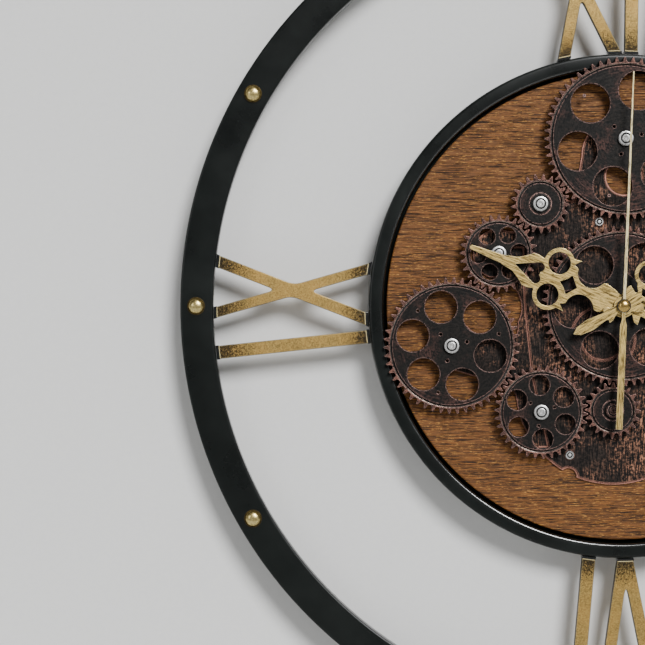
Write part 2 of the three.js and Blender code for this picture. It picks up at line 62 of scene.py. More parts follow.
def hole(x, y, radius, steps=48):
    """A circle that runs clockwise, so that the material is outside it."""
    return circle(x, y, radius, steps)[::-1]


def rectangle(x, y, width, height, corner=0.0, steps=3):
    a, b = width / 2, height / 2
    points = [(x - a, y - b), (x + a, y - b), (x + a, y + b), (x - a, y + b)]
    return rounded(points, corner, steps) if corner else points


def rounded(points, radius, steps=3, closed=True):
    """The outline with a curve at each corner, which starts up to `radius` before it."""
    made = []
    last = len(points) - 1
    for i, point in enumerate(points):
        if not closed and i in (0, last):
            made.append(tuple(point))
            continue
        corner = Vector(point)
        back = Vector(points[i - 1]) - corner
        ahead = Vector(points[i + 1 if i < last else 0]) - corner
        start = corner + back.normalized() * min(radius, back.length * 0.45)
        end = corner + ahead.normalized() * min(radius, ahead.length * 0.45)
        for step in range(steps + 1):
            t = step / steps
            spot = start * (1 - t) ** 2 + corner * 2 * t * (1 - t) + end * t ** 2
            made.append(tuple(spot))
    return made


# ---- outlines as fields: distance to the edge, negative inside ----
def disc(x, y, radius):
    return lambda px, py: np.hypot(px - x, py - y) - radius


def nearest(px, py, ax, ay, bx, by):
    """How far along the line from a to b its nearest point is, from 0 to 1, and how far off."""
    dx, dy = bx - ax, by - ay
    t = np.clip(((px - ax) * dx + (py - ay) * dy) / max(dx * dx + dy * dy, 1e-9), 0, 1)
    return t, np.hypot(px - ax - t * dx, py - ay - t * dy)


def strap(start, end):
    """A bar with round ends, from one (x, y, radius) to another."""
    def distance(px, py):
        t, off = nearest(px, py, *start[:2], *end[:2])
        return off - (start[2] + t * (end[2] - start[2]))

    return distance


def polygon(points):
    def distance(px, py):
        reach = np.full(px.shape, np.inf)
        inside = np.zeros(px.shape, bool)
        for (ax, ay), (bx, by) in zip(points, points[1:] + points[:1]):
            reach = np.minimum(reach, nearest(px, py, ax, ay, bx, by)[1])
            if ay != by:
                spans = (ay > py) != (by > py)
                inside ^= spans & (px < ax + (py - ay) * (bx - ax) / (by - ay))
        return np.where(inside, -reach, reach)

    return distance


def united(*shapes, blend=0.0):
    """All the shapes together, with fillets of about `blend` where they meet."""
    def distance(px, py):
        total = shapes[0](px, py)
        for shape in shapes[1:]:
            other = shape(px, py)
            reach = np.maximum(blend - abs(total - other), 0)
            total = np.minimum(total, other) - (reach ** 2 / (4 * blend) if blend else 0)
        return total

    return distance


def without(shape, *cuts):
    def distance(px, py):
        rest = shape(px, py)
        for cut in cuts:
            rest = np.maximum(rest, -cut(px, py))
        return rest

    return distance


def mirrored(shape):
    """The shape's right half, on both sides of x = 0."""
    return lambda px, py: shape(abs(px), py)


def ways(code):
    """The ways through a grid cell, as pairs of sides, with the inside on their left.

    Bits 0 to 3 of the code say which corners lie inside: low left, low right, high right and
    high left. Side n of the cell, counted from the low one, starts at corner n.
    """
    inside = [code >> corner & 1 for corner in range(4)]
    found = []
    for start in range(4):
        if inside[start] and not inside[(start + 1) % 4]:
            end = (start - 1) % 4
            while inside[end]:
                end = (end - 1) % 4
            found.append((start, end))
    return found


def thinned(points, slack):
    """The loop without the points that lie on its straight stretches."""
    kept = [points[0]]
    start = 0
    for end in range(2, len(points)):
        ax, ay = points[start]
        bx, by = points[end]
        span = max(math.hypot(bx - ax, by - ay), 1e-9)
        between = points[start + 1:end]
        off = max(abs((bx - ax) * (y - ay) - (by - ay) * (x - ax)) for x, y in between) / span
        if off > slack:
            start = end - 1
            kept.append(points[start])
    return kept + [points[-1]]


def traced(shape, box, step, slack=0.012):
    """Closed outlines of a field's inside, with the material on their left."""
    x0, y0, x1, y1 = box
    xs = np.arange(x0, x1 + step, step)
    ys = np.arange(y0, y1 + step, step)
    field = shape(*np.meshgrid(xs, ys, indexing="ij")) + 1e-7
    inside = field < 0
    code = (inside[:-1, :-1] * 1 + inside[1:, :-1] * 2 + inside[1:, 1:] * 4
            + inside[:-1, 1:] * 8)

    def crossing(edge):
        i, j, upright = edge
        k, m = (i, j + 1) if upright else (i + 1, j)
        t = field[i, j] / (field[i, j] - field[k, m])
        return (xs[i] + t * (xs[k] - xs[i]), ys[j] + t * (ys[m] - ys[j]))

    follows = {}
    for i, j in zip(*np.nonzero((code > 0) & (code < 15))):
        edges = ((i, j, 0), (i + 1, j, 1), (i, j + 1, 0), (i, j, 1))
        for start, end in ways(int(code[i, j])):
            follows[edges[start]] = edges[end]
    loops = []
    while follows:
        first, edge = follows.popitem()
        loop = [crossing(first)]
        while edge != first:
            loop.append(crossing(edge))
            edge = follows.pop(edge)
        if len(loop) > 8:
            loops.append(thinned(loop, slack))
    return loops


# ---- solid parts: lists of points and faces ----
def inset(loop, amount):
    """The loop moved sideways into the material on its left."""
    points = np.array(loop)
    ahead = np.roll(points, -1, axis=0) - points
    ahead /= np.maximum(np.linalg.norm(ahead, axis=1), 1e-9)[:, None]
    left = np.stack([-ahead[:, 1], ahead[:, 0]], axis=1)
    behind = np.roll(left, 1, axis=0)
    spread = np.maximum(1 + (left * behind).sum(axis=1), 0.6)
    return points + amount * (left + behind) / spread[:, None]


def slab(loops, back, front, bevel=0.3, back_bevel=0.0):
    """A flat part with rounded edges, raised from loops that have the material on their left."""
    levels = [(0, back)]
    if back_bevel:
        levels = [(back_bevel, back), (0.3 * back_bevel, back + 0.3 * back_bevel),
                  (0, back + back_bevel)]
    if bevel:
        levels += [(0, front - bevel), (0.3 * bevel, front - 0.3 * bevel), (bevel, front)]
    else:
        levels += [(0, front)]
    points, faces = [], []
    for depth, z in levels:
        for loop in loops:
            points += [(x, y, z) for x, y in inset(loop, depth)]
    size = sum(len(loop) for loop in loops)
    first = 0
    for loop in loops:
        count = len(loop)
        for level in range(len(levels) - 1):
            low = level * size + first
            for i in range(count):
                j = (i + 1) % count
                faces.append((low + i, low + j, low + size + j, low + size + i))
        first += count
    flat = [[Vector((x, y, 0)) for x, y in inset(loop, levels[-1][0])] for loop in loops]
    spots = [spot for loop in flat for spot in loop]
    top = (len(levels) - 1) * size
    for a, b, c in tessellate_polygon(flat):
        if (spots[b] - spots[a]).cross(spots[c] - spots[a]).z < 0:
            b, c = c, b
        faces.append((top + a, top + b, top + c))
        faces.append((c, b, a))
    return points, faces


def lathe(profile, segments=96):
    """A profile of (radius, z) turned about z, with its outside on the right of its path.

    A profile that starts on the axis also ends on it; any other closes on itself.
    """
    points, rings, faces = [], [], []
    for radius, z in profile:
        if radius == 0:
            rings.append([len(points)] * segments)
            points.append((0.0, 0.0, z))
        else:
            rings.append(range(len(points), len(points) + segments))
            points += [(*polar(radius, 360 * k / segments), z) for k in range(segments)]
    pairs = list(zip(rings, rings[1:]))
    if profile[0][0] > 0:
        pairs.append((rings[-1], rings[0]))
    for low, high in pairs:
        for k in range(segments):
            m = (k + 1) % segments
            faces.append(tuple(dict.fromkeys((low[k], low[m], high[m], high[k]))))
    return points, faces


def turned_pin(radius, back, front, bevel=0.3, segments=48):
    """A plain round pin with rounded rims."""
    profile = [(0, back), (radius, back), (radius, front), (0, front)]
    return lathe(rounded(profile, bevel, closed=False), segments)


def tube(outer, inner, back, front, bevel=0.2, segments=64):
    profile = [(inner, back), (outer, back), (outer, front), (inner, front)]
    return lathe(rounded(profile, bevel), segments)


def dome(radius, back, height, rim=0.5, segments=48, steps=7):
    """A domed head: a low rim, then a round crown."""
    profile = [(0, back), (radius, back), (radius, back + rim)]
    for i in range(1, steps):
        angle = 90 * i / steps
        profile.append(polar(1, angle))
        profile[-1] = (profile[-1][0] * radius, back + rim + profile[-1][1] * (height - rim))
    return lathe(profile + [(0, back + height)], segments)


def linked(name, data):
    """An object for the data, in the scene."""
    made = bpy.data.objects.new(name, data)
    bpy.context.scene.collection.objects.link(made)
    return made


class Piece:
    """One visible piece, gathered from parts that share its frame on the dial."""

    def __init__(self, x=0.0, y=0.0, turn=0.0):
        upright = Matrix.Rotation(math.pi / 2, 4, "X")
        self.matrix = (Matrix.Translation((x * MM, 0, y * MM)) @ upright
                       @ Matrix.Rotation(math.radians(turn), 4, "Z"))
        self.points, self.faces, self.finishes, self.finish_of = [], [], [], []

    def add(self, part, finish, at=(0, 0), turned=None):
        """Adds a part in a finish, moved to `at` or by the matrix `turned`."""
        points, faces = part
        move = turned or Matrix.Translation((*at, 0))
        if finish not in self.finishes:
            self.finishes.append(finish)
        start = len(self.points)
        self.points += [(move @ Vector(point)) * MM for point in points]
        self.faces += [tuple(start + i for i in face) for face in faces]
        self.finish_of += [self.finishes.index(finish)] * len(faces)
        return self

    def place(self, node, slot, body="frame"):
        """Makes the piece's object, which stands for a CAD node and rides on its body."""
        mesh = bpy.data.meshes.new(f"{node}_fine")
        mesh.from_pydata(self.points, [], self.faces)
        for finish in self.finishes:
            mesh.materials.append(finish)
        mesh.polygons.foreach_set("material_index", self.finish_of)
        mesh.shade_smooth()
        mesh.set_sharp_from_angle(angle=SHARP)
        mesh.update()
        made = linked(f"{node}_fine", mesh)
        made.matrix_world = self.matrix
        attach(made, body)
        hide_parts(node)


# ---- materials ----
def tint(code):
    """A colour written as RRGGBB, as the linear values that a shader takes."""
    channels = [int(code[i:i + 2], 16) / 255 for i in (0, 2, 4)]
    linear = [c / 12.92 if c <= 0.04045 else ((c + 0.055) / 1.055) ** 2.4 for c in channels]
    return (*linear, 1.0)


class Finish:
    """A material being made: its shader, its colour so far and the nodes that feed them."""

    def __init__(self, name, metallic=0.0, **constants):
        self.material = bpy.data.materials.new(name)
        self.material.use_nodes = True
        self.tree = self.material.node_tree
        self.shader = self.tree.nodes["Principled BSDF"]
        self.shader.inputs["Metallic"].default_value = metallic
        for socket, value in constants.items():
            self.shader.inputs[socket.replace("_", " ")].default_value = value

    def plug(self, socket, value):
        if isinstance(value, bpy.types.NodeSocket):
            self.tree.links.new(value, socket)
        else:
            socket.default_value = value

    def node(self, kind, inputs=None, **settings):
        made = self.tree.nodes.new("ShaderNode" + kind)
        for key, value in settings.items():
            setattr(made, key, value)
        for key, value in (inputs or {}).items():
            self.plug(made.inputs[key], value)
        return made

    def noise(self, scale, finer=(1, 1, 1), **texture):
        """Noise of about `scale` features to the metre, so many times finer along x, y and z."""
        spot = self.node("TexCoord").outputs["Object"]
        place = self.node("Mapping", {"Vector": spot, "Scale": finer}).outputs["Vector"]
        return self.noise_at(place, scale, **texture)

    def noise_at(self, vector, scale=1.0, detail=4.0, roughness=0.6, distortion=0.0):
        inputs = {"Vector": vector, "Scale": scale, "Detail": detail, "Roughness": roughness,
                  "Distortion": distortion}
        return self.node("TexNoise", inputs).outputs["Fac"]

    def span(self, value, low, high, to_low=0.0, to_high=1.0):
        """The value's stretch from low to high, as to_low to to_high and no further."""
        inputs = {"Value": value, "From Min": low, "From Max": high, "To Min": to_low,
                  "To Max": to_high}
        return self.node("MapRange", inputs).outputs["Result"]

    def math(self, operation, *values):
        inputs = dict(enumerate(values))
        return self.node("Math", inputs, operation=operation).outputs[0]

    def times(self, first, second):
        return self.math("MULTIPLY", first, second)

    def vectors(self, operation, inputs, output="Vector"):
        return self.node("VectorMath", inputs, operation=operation).outputs[output]

    def mix(self, amount, first, second):
        made = self.node("Mix", data_type="RGBA")
        self.plug(made.inputs[0], amount)
        self.plug(made.inputs[6], first)
        self.plug(made.inputs[7], second)
        return made.outputs[2]

    def ramp(self, value, low, high, first, second):
        """A colour that goes from the first to the second as the value goes from low to high."""
        return self.mix(self.span(value, low, high), tint(first), tint(second))

    def base(self, *ramp):
        """Starts the material's colour with a ramp."""
        self.colour = self.ramp(*ramp)

    def over(self, amount, code):
        """Lays another colour over the material's own by the amount."""
        self.colour = self.mix(amount, self.colour, tint(code))

    def walls(self, value, first, second):
        """Gives faces that look sideways a ramp of their own."""
        side = self.ramp(value, 0.4, 0.7, first, second)
        self.colour = self.mix(self.front(), side, self.colour)

    def sideways(self):
        """The vector out from the piece's own axis, in metres."""
        spot = self.node("TexCoord").outputs["Object"]
        return self.vectors("MULTIPLY", {0: spot, 1: (1, 1, 0)})

    def radius(self):
        """Distance from the piece's own axis, in metres."""
        return self.vectors("LENGTH", {0: self.sideways()}, "Value")

    def swirl(self, rings, sweep):
        """Coordinates for marks that run round the piece's axis."""
        way = self.vectors("NORMALIZE", {0: self.sideways()})
        round_it = self.vectors("SCALE", {0: way, "Scale": sweep})
        out = self.node("CombineXYZ", {"Z": self.times(self.radius(), rings)}).outputs[0]
        return self.vectors("ADD", {0: round_it, 1: out})

    def edge(self, reach, low, high):
        """0 on open faces, rising to 1 within `reach` millimetres of an edge."""
        soft = self.node("Bevel", {"Radius": reach * MM}, samples=6).outputs["Normal"]
        flat = self.node("NewGeometry").outputs["Normal"]
        return self.span(self.vectors("DOT_PRODUCT", {0: soft, 1: flat}, "Value"), high, low)

    def front(self):
        """1 on faces that look along the piece's axis, 0 on its walls."""
        normal = self.node("TexCoord").outputs["Normal"]
        up = self.node("SeparateXYZ", {"Vector": normal}).outputs["Z"]
        return self.span(self.math("ABSOLUTE", up), 0.75, 0.95)

    def bump(self, height, distance, strength=1.0):
        """Relief of up to `distance` millimetres."""
        inputs = {"Height": height, "Distance": distance * MM, "Strength": strength}
        self.plug(self.shader.inputs["Normal"], self.node("Bump", inputs).outputs["Normal"])

    def done(self, value, *limits):
        """The finished material, as rough as the value, or as its span where limits follow."""
        roughness = self.span(value, *limits) if limits else value
        self.plug(self.shader.inputs["Base Color"], self.colour)
        self.plug(self.shader.inputs["Roughness"], roughness)
        return self.material


def black_steel():
    """Sheet steel under a satin black powder coat."""
    it = Finish("black_steel", metallic=0.0, Specular_IOR_Level=0.28)
    grain = it.noise(1400, detail=3)
    cloud = it.noise(26, detail=5)
    it.base(cloud, 0.3, 0.75, "070a09", "101513")
    # Painted highlight: a lighter grey-green along every edge of the powder coat.
    it.over(it.edge(0.6, 0.88, 0.99), "39413f")
    it.bump(grain, 0.05, 0.5)
    return it.done(cloud, 0.25, 0.8, 0.24, 0.36)


def black_gloss():
    """The same paint, smooth and glossy, on the rim's bead and the tabs at the bars' ends."""
    it = Finish("black_gloss", Specular_IOR_Level=1.0)
    cloud = it.noise(60, detail=3)
    it.base(cloud, 0.3, 0.75, "080a0a", "0e1110")
    return it.done(cloud, 0.3, 0.7, 0.16, 0.22)


def aged_metal(name, bright, deep, roughness, speckle=900):
    """A bright metal with a dark patina in its grain and a lighter edge, partly wear and partly a
    painted highlight.
    """
    it = Finish(name, metallic=1.0)
    grain = it.noise(speckle, detail=5, roughness=0.7)
    cloud = it.noise(speckle / 12, detail=4)
    marks = it.math("ADD", it.times(grain, 0.7), it.times(cloud, 0.5))
    it.base(marks, 0.46, 0.72, deep, bright)
    # Lighter edges: partly rubbed wear, partly a painted highlight.
    it.over(it.edge(0.5, 0.9, 0.995), bright)
    it.bump(grain, 0.12, 0.5)
    return it.done(marks, 0.4, 0.8, roughness + 0.18, roughness)


def antique_gold():
    """Gold paint over cast bars, rubbed through to black beside the rim and the ring."""
    it = Finish("antique_gold", metallic=0.75)
    radius = it.radius()
    grain = it.noise(1100, detail=5, roughness=0.7)
    patch = it.noise(2100, detail=4, roughness=0.65)
    cloud = it.noise(60, detail=3)
    ends = it.math("MAXIMUM", it.span(radius, 0.198, 0.174), it.span(radius, 0.240, 0.275))
    worn = it.math("ADD", patch, it.times(ends, 0.27))
    black = it.span(worn, 0.62, 0.7)
    it.base(grain, 0.3, 0.68, "46351a", "ba9c58")
    it.over(it.span(cloud, 0.35, 0.7, 0.0, 0.5), "b8904a")
    it.over(black, "241d11")
    # Painted highlight: a pale line along the bars' edges.
    it.over(it.edge(1.0, 0.84, 0.99), "fbe8b0")
    it.walls(grain, "1a160e", "4a3a1c")
    it.bump(it.math("ADD", grain, patch), 0.22, 0.6)
    return it.done(worn, 0.4, 0.8, 0.36, 0.6)


def oak_veneer():
    """Brown stained oak with its grain across the dial and dark open pores."""
    it = Finish("oak_veneer", Specular_IOR_Level=0.35)
    fibres = it.noise(100, (0.6, 16, 1), detail=8, roughness=0.74, distortion=0.15)
    pores = it.noise(110, (0.7, 17, 1), detail=6, roughness=0.66, distortion=0.2)
    flecks = it.noise(230, (1.4, 8, 1), detail=4, roughness=0.6)
    bands = it.noise(22, (0.5, 3.2, 1), detail=3, roughness=0.5, distortion=0.8)
    it.base(fibres, 0.36, 0.62, "1b0d02", "8a541a")
    it.over(it.span(bands, 0.35, 0.7, 0.0, 0.55), "6b411a")
    it.over(it.span(flecks, 0.56, 0.66, 0.0, 0.8), "bf8840")
    it.over(it.span(pores, 0.51, 0.58, 0.0, 0.92), "170b03")
    relief = it.math("SUBTRACT", fibres, it.span(pores, 0.52, 0.66))
    it.bump(relief, 0.35, 0.55)
    return it.done(fibres, 0.3, 0.7, 0.62, 0.5)


def plate_bronze():
    """Rough cast bronze, brushed upright, dark with copper on what stands proud, and rubbed copper
    with a painted highlight along its edges.
    """
    it = Finish("plate_bronze", metallic=0.45, Specular_IOR_Level=0.3)
    strokes = it.noise(120, (18, 1, 1), detail=6, roughness=0.7, distortion=0.3)
    lumps = it.noise(620, detail=5, roughness=0.65)
    cloud = it.noise(34, detail=4)
    marks = it.math("ADD", it.times(strokes, 0.6), it.times(lumps, 0.4))
    it.base(marks, 0.46, 0.6, "020101", "392e28")
    copper = it.times(it.span(marks, 0.52, 0.58), it.span(cloud, 0.45, 0.66))
    it.over(copper, "bd8568")
    # Rubbed copper along the edges, which also serves as a painted highlight there.
    rub_and_highlight = it.times(it.edge(1.8, 0.8, 0.985), it.span(marks, 0.3, 0.46))
    it.over(rub_and_highlight, "d99a86")
    it.bump(marks, 0.6, 0.7)
    return it.done(marks, 0.35, 0.65, 0.62, 0.42)


def gear_face():
    """Dark bronze of the gears' webs, with turning marks, and copper dry-brushed on its rims that
    also serves as a painted highlight there.
    """
    it = Finish("gear_face", metallic=0.45, Specular_IOR_Level=0.3)
    rings = it.noise_at(it.swirl(900, 5), detail=5, roughness=0.65)
    lumps = it.noise(600, detail=5, roughness=0.65)
    cloud = it.noise(48, detail=4)
    marks = it.math("ADD", it.times(rings, 0.5), it.times(lumps, 0.5))
    it.base(marks, 0.43, 0.58, "020202", "1c1815")
    warm = it.times(it.span(cloud, 0.5, 0.62), it.span(marks, 0.45, 0.56))
    it.over(warm, "48302a")
    # Dry-brushed copper on the edges, which also serves as a painted highlight.
    rub_and_highlight = it.times(it.edge(1.2, 0.82, 0.99), it.span(lumps, 0.4, 0.5))
    it.over(rub_and_highlight, "d4a89c")
    it.walls(lumps, "0d0a09", "33221d")
    it.bump(marks, 0.35, 0.6)
    return it.done(marks, 0.35, 0.65, 0.58, 0.38)


def gear_teeth():
    """The gears' toothed rings: the same bronze, with the copper rubbed up brighter and a painted
    highlight along their edges.
    """
    it = Finish("gear_teeth", metallic=0.5, Specular_IOR_Level=0.3)
    lumps = it.noise(700, detail=5, roughness=0.65)
    cloud = it.noise(70, detail=4)
    it.base(lumps, 0.38, 0.6, "060404", "80584c")
    it.over(it.span(cloud, 0.4, 0.62, 0.0, 0.8), "3a2a27")
    # Rubbed copper along the tooth edges, which also serves as a painted highlight.
    rub_and_highlight = it.times(it.edge(0.7, 0.85, 0.99), it.span(lumps, 0.36, 0.48))
    it.over(rub_and_highlight, "e0b4a8")
    it.walls(lumps, "0e0908", "3c241f")
    it.bump(lumps, 0.3, 0.6)
    return it.done(lumps, 0.35, 0.65, 0.55, 0.36)


def gear_lip():
    """The worn, bright slope inside a gear's toothed ring."""
    it = Finish("gear_lip", metallic=0.9)
    grain = it.noise(700, detail=4)
    it.base(grain, 0.36, 0.56, "352a26", "9c8a80")
    it.bump(grain, 0.04, 0.5)
    return it.done(0.26)


def turned_metal(name, code, deep, roughness):
    """A machined metal with fine marks round its axis."""
    it = Finish(name, metallic=1.0)
    rings = it.noise_at(it.swirl(5200, 3), detail=3, roughness=0.6)
    cloud = it.noise(500, detail=3)
    it.base(rings, 0.35, 0.65, deep, code)
    it.over(it.span(cloud, 0.5, 0.75, 0.0, 0.45), deep)
    it.bump(rings, 0.03, 0.4)
    return it.done(rings, 0.3, 0.7, roughness + 0.1, roughness)


def plated_steel():
    """Zinc-plated sheet with a faint spangle."""
    it = Finish("plated_steel", metallic=1.0)
    cloud = it.noise(160, detail=4, distortion=0.6)
    grain = it.noise(260, (1, 14, 1), detail=4)
    it.base(cloud, 0.35, 0.65, "8e9294", "c3c6c6")
    it.bump(grain, 0.04, 0.4)
    return it.done(cloud, 0.35, 0.65, 0.42, 0.28)


def hand_gold(name, dark, light):
    """Pale gold hands, brushed along their length, with dark flecks in the brushing and a painted
    highlight along their edges.
    """
    it = Finish(name, metallic=0.8)
    brushed = it.noise(90, (16, 1, 1), detail=5, roughness=0.65, distortion=0.3)
    flecks = it.noise(150, (12, 1, 1), detail=5, roughness=0.65)
    it.base(brushed, 0.36, 0.55, dark, light)
    it.over(it.span(flecks, 0.54, 0.61, 0.0, 0.9), "2a1f0c")
    # Painted highlight: a pale line along the hands' edges.
    it.over(it.edge(0.7, 0.86, 0.99), "fbeebc")
    it.bump(brushed, 0.08, 0.5)
    return it.done(brushed, 0.3, 0.7, 0.46, 0.32)


def moulded_plastic(name, dark, light, roughness=0.5):
    """Moulded plastic with a fine spark-eroded grain."""
    it = Finish(name)
    grain = it.noise(1600, detail=3)
    cloud = it.noise(40, detail=3)
    it.base(cloud, 0.3, 0.7, dark, light)
    it.bump(grain, 0.06, 0.5)
    return it.done(grain, 0.3, 0.7, roughness - 0.06, roughness + 0.08)


BLACK = black_steel()
GLOSS = black_gloss()
RIVET = aged_metal("rivet_brass", "f0dc98", "6a5426", 0.22, speckle=700)
RIVET_EDGE = aged_metal("rivet_edge", "5c4e2c", "15110a", 0.42, speckle=700)
GOLD = antique_gold()
OAK = oak_veneer()
PLATE = plate_bronze()
FACE = gear_face()
TEETH = gear_teeth()
LIP = gear_lip()
STEEL = turned_metal("polished_steel", "ffffff", "8a8882", 0.34)
ZINC = plated_steel()
HAND = hand_gold("hand_gold", "3c2c10", "e3c377")
PALE = hand_gold("pale_gold", "b8a168", "fdebb8")
BRASS = turned_metal("turned_brass", "e6c67c", "8d6a2e", 0.2)
PLASTIC = moulded_plastic("black_plastic", "0e0f11", "1d1f22")
# Near-black painted shade, put in grooves, recesses, seams and vents, and as rings round heads where
# shadow falls.
PAINTED_SHADE = moulded_plastic("painted_shade", "040404", "0a0a0a", 0.7)
JACKET = moulded_plastic("cell_jacket", "1d2630", "303c48", 0.34)
CELL_BAND = aged_metal("cell_band", "c98a4a", "8a5526", 0.26, speckle=1500)

# ---- sizes ----
GAP = 0.3
SHEET = 1.5
INNER_FOLD = 0.5  # rounding inside a folded sheet
LARGE_ROUND = 256  # segments round the largest pieces
RING = Sizes(outer=300, inner=277.5, back=16, front=28, fold=1.6)
RIVETS = Sizes(count=12, circle=289, radius=6, height=3.2, shank=2, length=6,
               collar=4.6, head=4.9, head_rim=1.1)
RIM = Sizes(outer=171.6, inner=161.7, front=29, ledge=154, ledge_depth=2.2, fold=2.4,
            bead=1.9)
BOARD = Sizes(radius=159.3, back=18, front=24)
NUMERAL = Sizes(back=19, front=25, fillet=3.2)
BASE = Sizes(back=24.3, front=26.8, boss=8, boss_front=29.5, fillet=6)
GEAR = Sizes(back=29.8, front=33.8, bore=5.4, steps=180)
TOOTH = Sizes(module=1.8, addendum=1.3, dedendum=2.2, tip=1.1, root=3.2, corner=0.55)
ARBOR = Sizes(spigot=2, collar=4.5, pivot=2.6, bore=2.9, cap=5.2, height=2.4)
SCREW = Sizes(head=3, height=1.5, shank=1.5, length=7)
STEM = Sizes(outer=4.9, inner=3.2, front=36.6)
NUT = Sizes(corners=13.6, back=34.4, front=36.4)
HOUR_PIPE = Sizes(outer=2.9, inner=2.1, back=7, front=40.4)
MINUTE_PIPE = Sizes(outer=1.8, inner=1.1, back=7, front=43.4)
HAND_THICKNESS = 1.2
SECOND = Sizes(heading=2.35, back=45, thickness=0.8, front=158, tail=83.4, pin=0.8, pin_back=41.5,
               cap=4.2, cap_height=1.6)
MOVEMENT = Sizes(side=56, corner=6, front=17.7)
KNOB = Sizes(x=14, y=13, radius=6.5, back=0.8, front=5.2, shaft=1.6, end=9, knurls=28,
             knurl_depth=0.4)
CELL = Sizes(radius=7.1, body=48.5, nub=2.7, nub_length=1.3, jacket=0.7)
BAY = Sizes(length=51, width=15.4, y=-17, wall=1.3)
MOTOR = Sizes(width=46, height=62, back=0.9, wall=0.8, shaft_off=6, shaft_back=8)
COVER = Sizes(width=17.9, height=53.9, thickness=1.2)
HANGER = Sizes(low=118, high=140, foot=48, hat=36, thickness=1.5, back=0.5)
KEYHOLE = Sizes(y=125, radius=5, slot=4.4, top=134)


# ---- ring, rivets and rim ----
def outer_ring():
    """A channel folded from sheet, open at the back, with soft folds at its front edges."""
    outer, inner, back, front = RING.outer, RING.inner, RING.back, RING.front
    outside = rounded([(inner, back), (inner, front), (outer, front), (outer, back)][::-1],
                      RING.fold, steps=5, closed=False)
    inside = rounded([(outer - SHEET, back), (outer - SHEET, front - SHEET),
                      (inner + SHEET, front - SHEET), (inner + SHEET, back)][::-1],
                     INNER_FOLD, closed=False)
    ring = lathe(outside + inside, LARGE_ROUND)
    Piece().add(ring, BLACK).place("outer_ring", "black_steel")


def rivets():
    """Domed brass heads, each in a dark collar with a thin painted shadow line round it."""
    seat = RING.front
    for i in range(RIVETS.count):
        piece = Piece(*polar(RIVETS.circle, 90 - 360 * i / RIVETS.count))
        # Painted shadow: a near-black ring just outside the collar.
        piece.add(tube(RIVETS.radius + 0.1, 4, seat + 0.02, seat + 0.5, 0.15), PAINTED_SHADE)
        piece.add(tube(RIVETS.radius, RIVETS.collar, seat + GAP, seat + GAP + 0.7, 0.25),
                  RIVET_EDGE)
        piece.add(dome(RIVETS.head, seat + GAP, RIVETS.height, RIVETS.head_rim), RIVET)
        piece.add(turned_pin(RIVETS.shank, seat + GAP - RIVETS.length, seat + 0.4), RIVET)
        piece.place(f"rivet_{i + 1:02d}", "rivet_brass")


def inner_rim():
    """A folded channel with a ledge behind the dial board and a glossy bead at its inner edge."""
    outer, inner, front = RIM.outer, RIM.inner, RIM.front
    ledge_front = BOARD.back - GAP
    outside = rounded([(outer, 0), (outer, front), (inner, front), (inner, ledge_front),
                       (RIM.ledge, ledge_front), (RIM.ledge, ledge_front - RIM.ledge_depth),
                       (inner, ledge_front - RIM.ledge_depth), (inner, 0)],
                      RIM.fold, steps=5, closed=False)
    inside = rounded([(inner + SHEET, 0), (inner + SHEET, front - SHEET),
                      (outer - SHEET, front - SHEET), (outer - SHEET, 0)], INNER_FOLD,
                     closed=False)
    bead = circle(inner + RIM.bead, front - RIM.bead - 0.02, RIM.bead, 24)
    piece = Piece()
    piece.add(lathe(outside + inside, LARGE_ROUND), BLACK)
    piece.add(lathe(bead, LARGE_ROUND), GLOSS)
    piece.place("inner_rim", "black_steel")


# ---- numerals ----
# Each stroke runs from the rim to the ring: its middle is at "foot" sideways on the rim and at
# "head" on the ring, both clockwise from the numeral's own radius, and then comes its width.
NUMERALS = {
    "twelve_x": (0, [(-37.6, -17.7, 8), (-2.9, -56, 8)]),
    "twelve_first_i": (0, [(7.6, 9, 9)]),
    "twelve_second_i": (0, [(29, 43, 9)]),
    "three_first_i": (90, [(-22, -32, 9)]),
    "three_second_i": (90, [(0, 0, 9)]),
    "three_third_i": (90, [(22, 32, 9)]),
    "six_v": (180, [(-2.4, 12.7, 8), (-4.6, -26, 8)]),
    "six_i": (180, [(21.3, 30.7, 9)]),
    "nine_i": (270, [(-20.8, -32, 9)]),
    "nine_x": (270, [(-9.4, 31.8, 8.1), (25.4, -4.8, 7.2)]),
}
# The black tabs that hold a bar's ends: their length, and how far they stand out all round.
TAB = Sizes(length=2.1, aside=0.4, behind=0.3, proud=0.35)
OVERHANG = 14  # how far a stroke is drawn past the rim and the ring, before it is cut to them


def stroke(foot, head, width):
    """The field of one straight stroke."""
    low = Vector((foot, RIM.outer))
    high = Vector((head, RING.inner))
    along = (high - low).normalized()
    side = Vector((-along.y, along.x)) * width / 2
    low -= along * OVERHANG
    high += along * OVERHANG
    return polygon([tuple(low - side), tuple(high - side), tuple(high + side),
                    tuple(low + side)][::-1])


def between(shape, low, high):
    """What lies of the shape between two radii from the clock's axis."""
    return without(shape, disc(0, 0, low), without(disc(0, 0, 2 * high), disc(0, 0, high)))


def numerals():
    low, high = RIM.outer + GAP, RING.inner - GAP
    for name, (heading, strokes) in NUMERALS.items():
        bars = united(*[stroke(*sizes) for sizes in strokes], blend=NUMERAL.fillet)
        wider = united(*[stroke(foot, head, width + 2 * TAB.aside)
                         for foot, head, width in strokes])
        reach = [x for foot, head, _ in strokes for x in (foot, head)]
        box = (min(reach) - 12, 160, max(reach) + 12, RING.inner + 2)
        piece = Piece(turn=-heading)
        piece.add(slab(traced(between(bars, low, high), box, 0.5), NUMERAL.back, NUMERAL.front,
                       0.6, 0.4), GOLD)
        for start, end in ((low, low + TAB.length), (high - TAB.length, high)):
            for tab in traced(between(wider, start, end), box, 0.4):
                piece.add(slab([tab], NUMERAL.back - TAB.behind, NUMERAL.front + TAB.proud,
                               0.4, 0.2), GLOSS)
        piece.place(f"numeral_{name}", "antique_gold")


